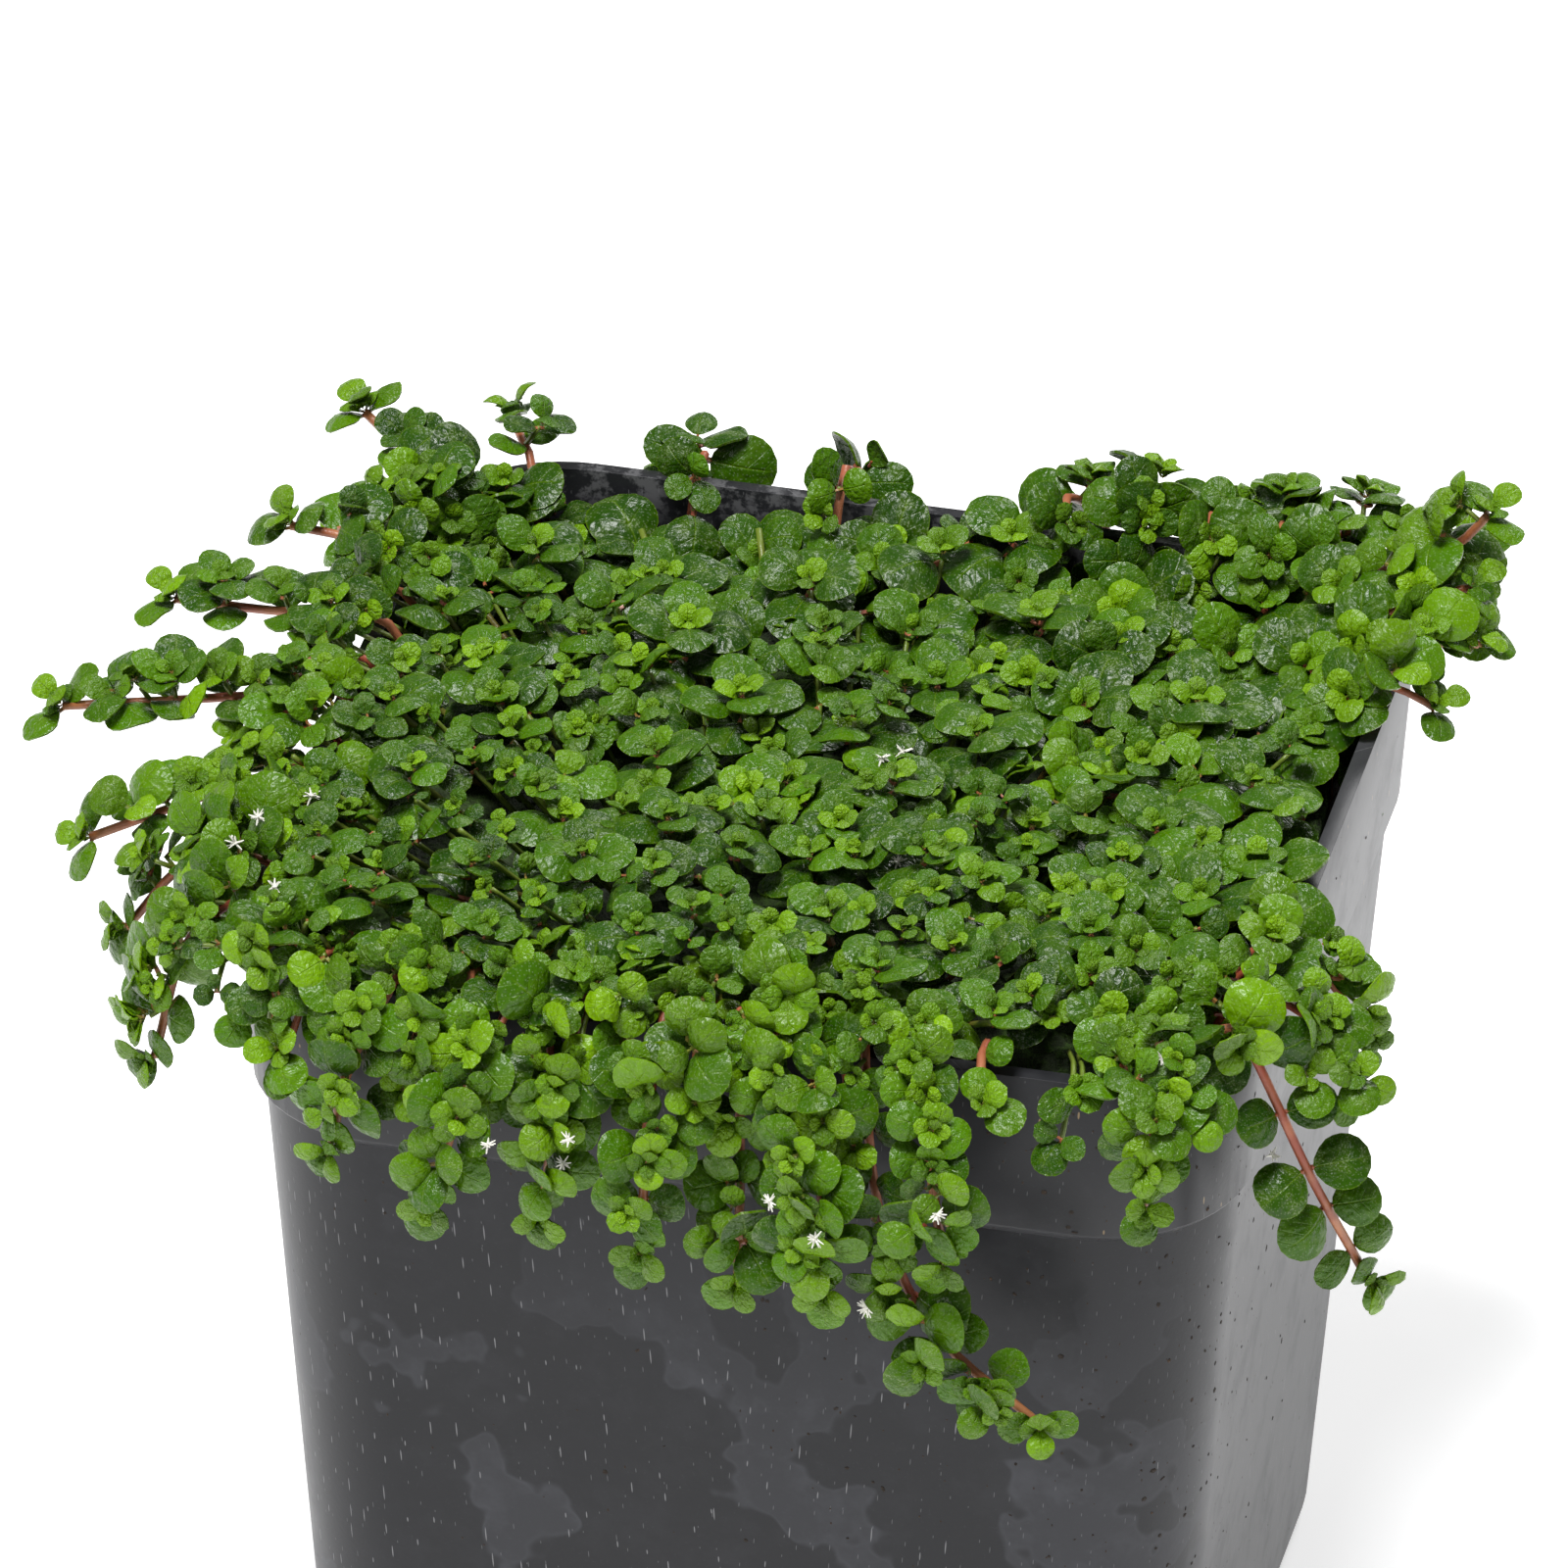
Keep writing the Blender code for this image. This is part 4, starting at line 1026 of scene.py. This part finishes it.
LEAD_SHARE = 0.92
CORE_DEPTH = 4.4 * MM
CORE_BASE = SOIL_TOP + SOIL_SWELL + FIT_GAP
CROWN_RISE = 1.4 * MM
CROWN_TILT = (-0.035, -0.075)
CROWN_WAVES = (150, 130)
CROWN_SHIFT = (-1 * MM, -1.6 * MM)
SHOOT_ROWS = 8
SHOOT_PITCH = 11.2 * MM
SHOOT_JITTER = 1.4 * MM
SHOOT_SINK = 2.2 * MM
SHOOT_SPREAD = 0.9 * MM
SHOOT_FOOT = 0.8
SHOOT_EDGE = RIM_HALF - 2 * MM
SHOOT_NUDGES = ((0, 0), (2, 0), (-2, 0), (0, 2), (0, -2), (3, 3), (-3, -3))
HEAD_SIZES = (1.05, 0.82)
HEAD_RISES = (0, 16)
HEAD_TILT = 18


def crown_height(x, y):
    """Where the mat's upper leaves lie: lowest along the back, full and a little proud in front."""
    swell = math.sin(CROWN_WAVES[0] * x + 0.6) * math.cos(CROWN_WAVES[1] * y + 0.9)
    return POT_HEIGHT + CROWN_RISE + CROWN_TILT[0] * x + CROWN_TILT[1] * y + swell * MM


def shoot_places(draw):
    """The leading shoots: staggered rows over the mat, each with its tip and its foot in the core."""
    edge = (SHOOT_ROWS - 1) * SHOOT_PITCH / 2
    found = []
    for row in range(SHOOT_ROWS):
        for column in range(SHOOT_ROWS):
            x = column * SHOOT_PITCH - edge + (row % 2 - 0.5) * SHOOT_PITCH / 2
            y = row * SHOOT_PITCH - edge
            x = np.clip(x, -edge, edge) + CROWN_SHIFT[0] + draw.uniform(-1, 1) * SHOOT_JITTER
            y += CROWN_SHIFT[1] + draw.uniform(-1, 1) * SHOOT_JITTER
            level = SHOOT_SPREAD if (row + column) % 2 else -SHOOT_SPREAD
            z = crown_height(x, y) + level
            tip = np.array([x, y, z])
            x, y = x * SHOOT_FOOT, y * SHOOT_FOOT
            deep = crown_height(x, y) - CORE_DEPTH - SHOOT_SINK
            foot = np.array([x, y, max(deep, CORE_BASE + NODE_HALF)])
            if square_distance(*tip[:2], SHOOT_EDGE) < 0:
                found.append((tip, foot))
    return found


def vigour(x, y):
    """How large the leaves grow: least at the front left, which dries out first."""
    return 0.62 + 0.52 * np.clip((x + y) / (3 * RIM_HALF) + 0.5, 0, 1)


def light_share(x, y):
    """How far shoots lean toward the light, which comes from the front: most at the back right."""
    return 0.25 + 0.35 * np.clip((x * 0.6 + y) / RIM_HALF, 0, 1)


def bay_depth(x, y):
    """How far the mat has sunk along the back wall, where it is thin, so that the wall shows."""
    across = np.clip(1.4 - abs(x + 22 * MM) / (14 * MM), 0, 1)
    return 4.5 * MM * across * np.clip((y - 29 * MM) / (5 * MM), 0, 1)


def leant(leaf, degrees):
    """A leaf turned toward the front about its own foot."""
    along, face = (turned(way, (1, 0, 0), degrees) for way in (leaf.along, leaf.face))
    return leaf._replace(along=along, face=face)


THICKET_CELLS = 40
THICKET_DARK = (0.016, 0.030, 0.004, 1)
THICKET_LIGHT = (0.05, 0.11, 0.01, 1)


def thicket(finish):
    """The tangle of old stems and shaded leaves under the mat, seen only as dark between leaves."""
    bm = bmesh.new()
    cells = {"x_segments": THICKET_CELLS, "y_segments": THICKET_CELLS}
    bmesh.ops.create_grid(bm, size=SOIL_REACH * MM, **cells)
    look = bm.verts.layers.float_color.new("look")
    draw = random.Random(8)
    for v in bm.verts:
        diagonal = min(abs(v.co.x), abs(v.co.y)) / (SOIL_REACH * MM)
        v.co *= 1 - 0.12 * diagonal**2
        v.co.z = crown_height(v.co.x, v.co.y) - CORE_DEPTH - draw.uniform(0.6, 2.2) * MM
        v[look] = (0, 0.2, 0.5, 1)
    base = bmesh.ops.extrude_face_region(bm, geom=bm.faces[:])["geom"]
    flat = [f for f in base if isinstance(f, bmesh.types.BMFace)]
    for v in {v for f in flat for v in f.verts}:
        v.co.z = CORE_BASE
    bmesh.ops.recalc_face_normals(bm, faces=bm.faces[:])
    for face in bm.faces:
        face.smooth = True
    return new_piece("mat_thicket", bm, "foliage", finish)


def thicket_finish():
    tangle = Finish("shaded_tangle", Metallic=0)
    where = tangle.place()
    strands = tangle.noise(where, 1.3, 4, 0.7)
    # The tangle's dark greens paint in the shade that lies in it, as well as the own greens of its stems
    # and leaves.
    tangle.feed(
        Base_Color=tangle.mix(strands.between(0.4, 0.7), THICKET_DARK, THICKET_LIGHT),
        Roughness=0.6 + 0.3 * strands,
        Normal=tangle.bump(strands, 0.8 * MM),
    )
    return tangle


thicket(thicket_finish())
heads = new_foliage()
draw = random.Random(SEED)
lead_shoots = []
for tip, foot in shoot_places(draw):
    first, tilt, about = draw.uniform(0, 90), draw.uniform(0, HEAD_TILT), draw.uniform(0, 360)
    axis = turned(UP, bearing(about), tilt)
    out = square_to(axis, bearing(first))
    for nudge in SHOOT_NUDGES:
        place = tip + np.array([*nudge, 0]) * MM
        line = spaced([foot, place])
        if growth.stem_fits(line):
            break
    else:
        continue
    name = f"shoot {len(lead_shoots) + 4}"
    leaves = whorl(place, axis, out, HEAD_SIZES, HEAD_RISES, growth, name)
    if leaves:
        growth.add(leaves)
        growth.add_stem(name, line)
        lead_shoots.append((name, line, axis, out))
        for leaf in leaves:
            youth = paint.uniform(0.05, 0.3) + 0.15 * (leaf.length < LEAF_LENGTH)
            # Toward the back the youth is lowered, so the leaves there are a darker green: painted
            # shade.
            youth *= 1 - 0.6 * np.clip(place[1] / RIM_HALF, 0, 1)
            sunk = leaf._replace(base=leaf.base - (0, 0, bay_depth(*place[:2])))
            share = LEAD_SHARE * vigour(*place[:2])
            nod = math.degrees(light_share(*place[:2])) * paint.uniform(0.2, 1.0)
            shrunk = sunk._replace(length=leaf.length * share, width=leaf.width * share * 1.06)
            set_leaf(heads, leant(shrunk, nod), youth, paint)
        lit = unit(axis + LIGHT * light_share(*place[:2]))
        size = paint.uniform(0.5, 0.7) * vigour(*place[:2])
        middle = place + axis * PAIR_GAP - (0, 0, bay_depth(*place[:2]))
        set_tuft(heads, Tuft(middle, lit, square_to(lit, out), size), paint)
        round_stem(heads, line, STEM_HALF * 0.7, 5, 0.6, 0.9)

# The shorter shoots between those, and the side shoots on every stem, with small uneven heads at
# all heights. They close the mat and the curtain over the rim, and hide the stems.

FILL_PITCH = 4.1 * MM
FILL_ROOM = 0.28
FILL_HALF = 42.8 * MM
FILL_JITTER = 1.4
FILL_LEVELS = (-2.4, 1.9)
FILL_DEPTH = 5 * MM
FILL_FOOT = 0.88
FILL_TILT = 34
FILL_SIZES = (0.5, 0.58, 0.66, 0.74, 0.86)
AXIL_SIZES = (0.48, 0.82)
FILL_GAP = 0.7 * MM
FILL_TRIES = ((0, 0, 0), (0, 16, 0), (20, 0, 20), (-20, 0, -20), (0, -16, 0), (0, 34, 0))
growth.room = FILL_ROOM
growth.tries = FILL_TRIES
growth.growths = (1, 0.8)
growth.closing = 0.3
growth.lean = 0.9


def loose_head(centre, axis, out, size, own_stem, draw):
    """A filler shoot's head: two uneven pairs at any tilt."""
    found = []
    for k in range(4):
        grow = size * draw.uniform(0.85, 1.12) * (1, 0.74)[k % 2]
        rise = (0, 20)[k % 2] + draw.uniform(-12, 18)
        flat = turned(out, axis, 90 * k + draw.uniform(-15, 15))
        along, face = raised(flat, axis, rise)
        face = turned(face, along, draw.uniform(-16, 16))
        length = LEAF_LENGTH * grow
        wide = length * draw.uniform(0.84, 1.02)
        leaf = Leaf(centre + axis * FILL_GAP * (k % 2), along, face, length, wide)
        leaf = growth.bent_clear(leaf, axis, own_stem, found)
        if leaf:
            found.append(leaf)
    return found


def grow_fill(bm, name, line, axis, out, size, youth, draw):
    """One filler shoot with its head, and often a tuft in it."""
    leaves = loose_head(line[-1], axis, out, size, name, draw)
    if not leaves:
        return
    growth.add(leaves)
    for leaf in leaves:
        set_leaf(bm, leaf, youth + 0.25 * (leaf.length < size * 0.85 * LEAF_LENGTH), draw)
    if draw.random() < 0.5:
        set_tuft(bm, Tuft(line[-1] + axis * FILL_GAP, axis, out, size * 0.8), draw)
    round_stem(bm, line, STEM_HALF * 0.55, 4, 0.8, 0.95)


def grow_axil(bm, axil, draw, sizes=AXIL_SIZES):
    """A short side shoot on the outer side of a trailing stem."""
    # Shoots over the back half, except at the right edge, get less youth and so a darker green: painted
    # shade.
    youth = draw.uniform(0.2, 0.7) - 0.3 * (axil.place[1] > 0 and axil.place[0] < 42 * MM)
    side = np.cross(axil.face, axil.way)
    lean = side * draw.uniform(-0.6, 0.6) + axil.way * draw.uniform(-0.2, 0.6)
    axis = unit(axil.face + lean + LIGHT * 0.5)
    out = turned(square_to(axis, axil.way), axis, draw.uniform(0, 90))
    tip = axil.place + axis * draw.uniform(1.1, 2.2) * MM + side * draw.uniform(-0.9, 0.9) * MM
    line = np.array([axil.place, (axil.place + tip) / 2, tip])
    grow_fill(bm, axil.stem, line, axis, out, draw.uniform(*sizes), youth, draw)


AXIL_SHOOTS = {"front": 5, "right": 2, "left": 4, "back": 1}
COLLAR_SIZES = {"front": (0.5, 0.75), "left": (0.5, 0.8), "right": (0.7, 0.95), "back": (0.55, 0.75)}
FEW_SHOOTS = {"right_stem_1": 0, "front_stem_9": 0, "left_stem_7": 1, "left_stem_8": 1}


def grow_collar(side, name, line, draw):
    """Side shoots on a trailing stem where it climbs past the mat and crosses the lip."""
    crest = int(np.argmax(line[:, 2] - 0.4 * np.arange(len(line)) * MM))
    outward = unit(facing(line[crest]) * (1, 1, 0))
    across = np.cross(UP, outward)
    top = crest - 2 if side == "back" else min(crest + 1, len(line) - 2)
    for k in range(top, 1, -2 if side == "front" else -3):
        if line[k][2] < POT_HEIGHT - 2.5 * MM:
            break
        inward = -0.6 * outward if k < crest else 0.2 * outward
        face = unit(LIGHT + inward + across * draw.uniform(-0.8, 0.8) + (0, 0, draw.uniform(0.2, 0.8)))
        axil = Axil(name, line[k], unit(line[k + 1] - line[k - 1]), face)
        grow_axil(sides[side], axil, draw, COLLAR_SIZES[side])


# Short side shoots that come out from under the mat and lie over the lip: where each crosses it, in
# millimetres, as in all the rows below.
LIP_OUT, LIP_TOP = 44.5, 89
EDGE_FILLS = {
    "front": (-39, -34.5, -24.5, -21.5, -14.8, -8, -1.2, 5.3, 11, 38.8),
    "left": (-31, -20.5, -9, 3.5, 16, 28.5, 32),
    "right": (-33.5, -26, 21),
    "back": (17.5, 30),
}
OUTWARD = {"front": (0, -1), "left": (-1, 0), "right": (1, 0), "back": (0, 1)}
draw = random.Random(41)
for side, crossings in EDGE_FILLS.items():
    for k, across in enumerate(crossings):
        outward = np.array(OUTWARD[side])
        crossing = outward * LIP_OUT + np.abs(outward[::-1]) * across
        reach, drop = draw.uniform(3.6, 6.5), draw.uniform(0, 6) + 5 * (side == "front")
        drift = outward[::-1] * draw.uniform(-3, 3)
        lift = draw.uniform(1.4, 2.6)
        places = (
            (*crossing, lift),
            (*(crossing + outward * reach * 0.75 + drift / 2), LIP_TOP + lift - drop * 0.35),
            (*(crossing + outward * reach + drift), LIP_TOP + lift - drop),
        )
        name = f"{side} side shoot {k}"
        line = stem_route(places)
        growth.add_stem(name, line)
        grow_trailing(side, name, line, draw, STEM_HALF * 0.75, -7 * MM)
        grow_collar(side, name, line, draw)
for name, line in lines.items():
    if name not in ("front_stem_9", "left_stem_7", "left_stem_8"):
        grow_collar(name.split("_")[0], name, line, draw)
for side, nodes in axils.items():
    for axil in nodes:
        for k in range(FEW_SHOOTS.get(axil.stem, AXIL_SHOOTS[side])):
            below = axil.place - axil.way * (k % 2) * NODE_STEP / 2
            grow_axil(sides[side], axil._replace(place=below), draw)

# The fringe: shoots from the edge of the mat that lean over the lip and hide it. For each run of
# it: its side, and where it starts and ends along that side. Then how far out from the pot's middle
# and how high up a shoot's foot, bend and tip are, and how far the tip can hang.
FRINGES = (
    ("front", -43, 13), ("front", 31, 44), ("left", -43, 33), ("back", 26, 44), ("right", 28, 44),
)
FRINGE_PITCH = 2.9
FRINGE_FOOT, FRINGE_LIP, FRINGE_TIP = (38, 88), (45, 90.6), (44, 91.8)
FRINGE_FALL = 5.5
fringe = new_foliage()
for side, start, end in FRINGES:
    draw = random.Random(f"{side} {start}")
    outward = np.array([*OUTWARD[side], 0])
    beside = np.abs(outward[[1, 0, 2]])
    for k in range(3 * round((end - start) / FRINGE_PITCH)):
        across = start + (k / 3 + draw.uniform(-0.4, 0.4)) * FRINGE_PITCH
        fall = draw.random() ** 2 if side == "front" else 0.5 * draw.random()
        foot = outward * FRINGE_FOOT[0] + beside * across * 0.94 + (0, 0, FRINGE_FOOT[1])
        lip = outward * FRINGE_LIP[0] + beside * across + (0, 0, FRINGE_LIP[1])
        out_by = FRINGE_TIP[0] + FRINGE_FALL * fall**0.6
        tip = outward * out_by + beside * across + (0, 0, FRINGE_TIP[1] - FRINGE_FALL * fall**1.5)
        line = smooth_route([foot * MM, lip * MM, tip * MM])
        axis = outward * (0.2 + 0.6 * fall) + (0, 0, 1.0 - 0.5 * fall) + LIGHT * 0.5
        axis = unit(axis + beside * draw.uniform(-0.4, 0.4))
        out = turned(square_to(axis, beside), axis, draw.uniform(0, 90))
        size = draw.uniform(0.5, 0.85) * vigour(*(tip[:2] * MM))
        youth = draw.uniform(0.1, 0.5)
        grow_fill(fringe, f"{side} fringe {start} {k}", line, axis, out, size, youth, draw)

fills = new_foliage()
for name, line, axis, out in lead_shoots:
    low = line[-1] - axis * draw.uniform(1.6, 2.8) * MM
    lit = unit(axis + LIGHT * light_share(*low[:2]))
    leaves = loose_head(low, lit, turned(square_to(lit, out), lit, 45), 0.95, name, draw)
    growth.add(leaves)
    for leaf in leaves:
        set_leaf(fills, leaf, draw.uniform(0, 0.2), paint)

spots = []
steps = round(2 * FILL_HALF / FILL_PITCH)
for row in range(steps + 1):
    for column in range(steps + 1):
        off_x, off_y = (draw.uniform(-FILL_JITTER, FILL_JITTER) * MM for _ in range(2))
        x = (column + row % 2 / 2) * FILL_PITCH - FILL_HALF + off_x
        y = row * FILL_PITCH - FILL_HALF + off_y
        bare = 12 * MM < x < 29 * MM and y < -38 * MM
        if square_distance(x, y, FILL_HALF - 0.4 * MM) < 0 and not bare:
            spots.append((x, y))
draw.shuffle(spots)
for k, (x, y) in enumerate(spots):
    level = draw.uniform(*FILL_LEVELS) - 1.2 * max(y / RIM_HALF, 0)
    z = crown_height(x, y) + level * MM - bay_depth(x, y)
    tip = np.array([x, y, z])
    line = spaced([np.array([x * FILL_FOOT, y * FILL_FOOT, z - FILL_DEPTH]), tip])
    tilt, about, first = draw.uniform(0, FILL_TILT), draw.uniform(0, 360), draw.uniform(0, 90)
    lean = np.array([x, y, 0]) / RIM_HALF
    axis = turned(UP, bearing(about), tilt)
    lit = LIGHT * light_share(x, y) * draw.uniform(0.2, 1.8)
    axis = unit(axis + lean * 0.4 * (lean @ lean) + lit)
    out = square_to(axis, bearing(first))
    size = draw.choice(FILL_SIZES) * vigour(x, y)
    # Toward the back the youth is lowered, so the leaves there are a darker green: painted shade.
    youth = draw.uniform(0, 0.45) * (1 - 0.6 * np.clip(y / RIM_HALF, 0, 1))
    grow_fill(fills, f"fill {k}", line, axis, out, size, youth, paint)


# The flowers: minute white tufts of petal and stamen, thin as bristles, that stand singly in the
# leaf axils. Where each one is, to the nearest few millimetres (x, y, z).

FLOWERS = (
    (-45, -23.5, 91.5), (-41.5, -19, 91.5), (-46, -28, 91.5), (-41, -34, 91.5),
    (4.5, -1.5, 91.5), (6, 0, 91.5), (9.5, -17.5, 91.5), (-18, -52.5, 80.5),
    (-11, -52.5, 82), (-11.5, -52.5, 79.5), (6.5, -52.5, 78.5), (10.5, -52.5, 75.5),
    (21, -52.5, 79.5), (15, -52.5, 69), (38, -42.5, 91.5), (46.5, -36, 79),
)
FLOWER_SIZE = 0.85 * MM
FLOWER_RAYS = 15
RAY_RADII = (0.13 * MM, 0.05 * MM)
FLOWER_SEARCH = 30 * MM
FLOWER_LIGHT = np.array((0.18, -0.83, 0.53))


def flower_tuft(bm, place, draw):
    """One tuft of bristles that stand out toward the light."""
    for _ in range(FLOWER_RAYS):
        spread = np.array([draw.uniform(-1, 1) for _ in range(3)])
        way = unit(FLOWER_LIGHT * 0.5 + unit(spread))
        length = FLOWER_SIZE * draw.uniform(0.7, 1.15)
        stand = Vector(way).to_track_quat("Z", "Y").to_matrix().to_4x4()
        rod(bm, 4, *RAY_RADII, length, Matrix.Translation(place + way * length / 2) @ stand)


petals = Finish("white_petal", Base_Color=(0.80, 0.79, 0.72, 1), Roughness=0.5)
leaf_trees = [BVHTree.FromBMesh(bm) for bm in (*sides.values(), heads, fills, fringe)]
flowers = bmesh.new()
draw = random.Random(6)
for spot in FLOWERS:
    start = np.array(spot) * MM + FLOWER_LIGHT * FLOWER_SEARCH
    hits = [tree.ray_cast(Vector(start), Vector(-FLOWER_LIGHT)) for tree in leaf_trees]
    reach = min((hit[3] for hit in hits if hit[0]), default=FLOWER_SEARCH)
    flower_tuft(flowers, start - FLOWER_LIGHT * (reach - 0.3 * MM), draw)
new_piece("flower_tufts", flowers, "foliage", petals)

for side, bm in sides.items():
    piece = new_piece(f"{side}_trailing_growth", bm, "foliage", leafy, fleshy)
    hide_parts(*[name for name in lines if name.startswith(side)])
head_piece = new_piece("mat_heads", heads, "foliage", leafy, fleshy)
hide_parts("leaf_mat")
new_piece("mat_fill", fills, "foliage", leafy, fleshy)
new_piece("rim_fringe", fringe, "foliage", leafy, fleshy)

# The floor is a plain pale sweep that glows a little, as a lit one does. The light is soft: one lamp
# over the pot, a weaker one from the front left, and a dim surround.

FLOOR_SHADE = (0.84, 0.84, 0.845, 1)
FLOOR_GLOW = 0.55
SURROUND = 0.21
bm = bmesh.new()
bmesh.ops.create_grid(bm, x_segments=1, y_segments=1, size=3)
floor = show("floor", made_mesh("floor", bm))
pale = Finish("pale_floor", Base_Color=FLOOR_SHADE, Roughness=0.9)
pale.feed(Emission_Color=(1, 1, 1, 1), Emission_Strength=FLOOR_GLOW)
floor.data.materials.append(pale.material)


def soft_lamp(name, place, size, power):
    """A round lamp that points at the pot."""
    lamp = bpy.data.lights.new(name, "AREA")
    lamp.shape = "DISK"
    lamp.size = size
    lamp.energy = power
    made = show(name, lamp)
    made.location = place
    made.rotation_euler = (Vector((0, 0, 0.08)) - Vector(place)).to_track_quat("-Z", "Y").to_euler()


soft_lamp("top_lamp", (-0.1, -0.3, 1.2), 0.42, 18)
soft_lamp("back_lamp", (0.2, 1.1, 0.9), 0.4, 6)
soft_lamp("front_lamp", (-0.8, -1.1, 1.0), 0.4, 3)
world = bpy.data.worlds.new("surround")
world.use_nodes = True
sky = world.node_tree.nodes["Background"].inputs
sky["Color"].default_value = (1, 1, 1, 1)
sky["Strength"].default_value = SURROUND
bpy.context.scene.world = world
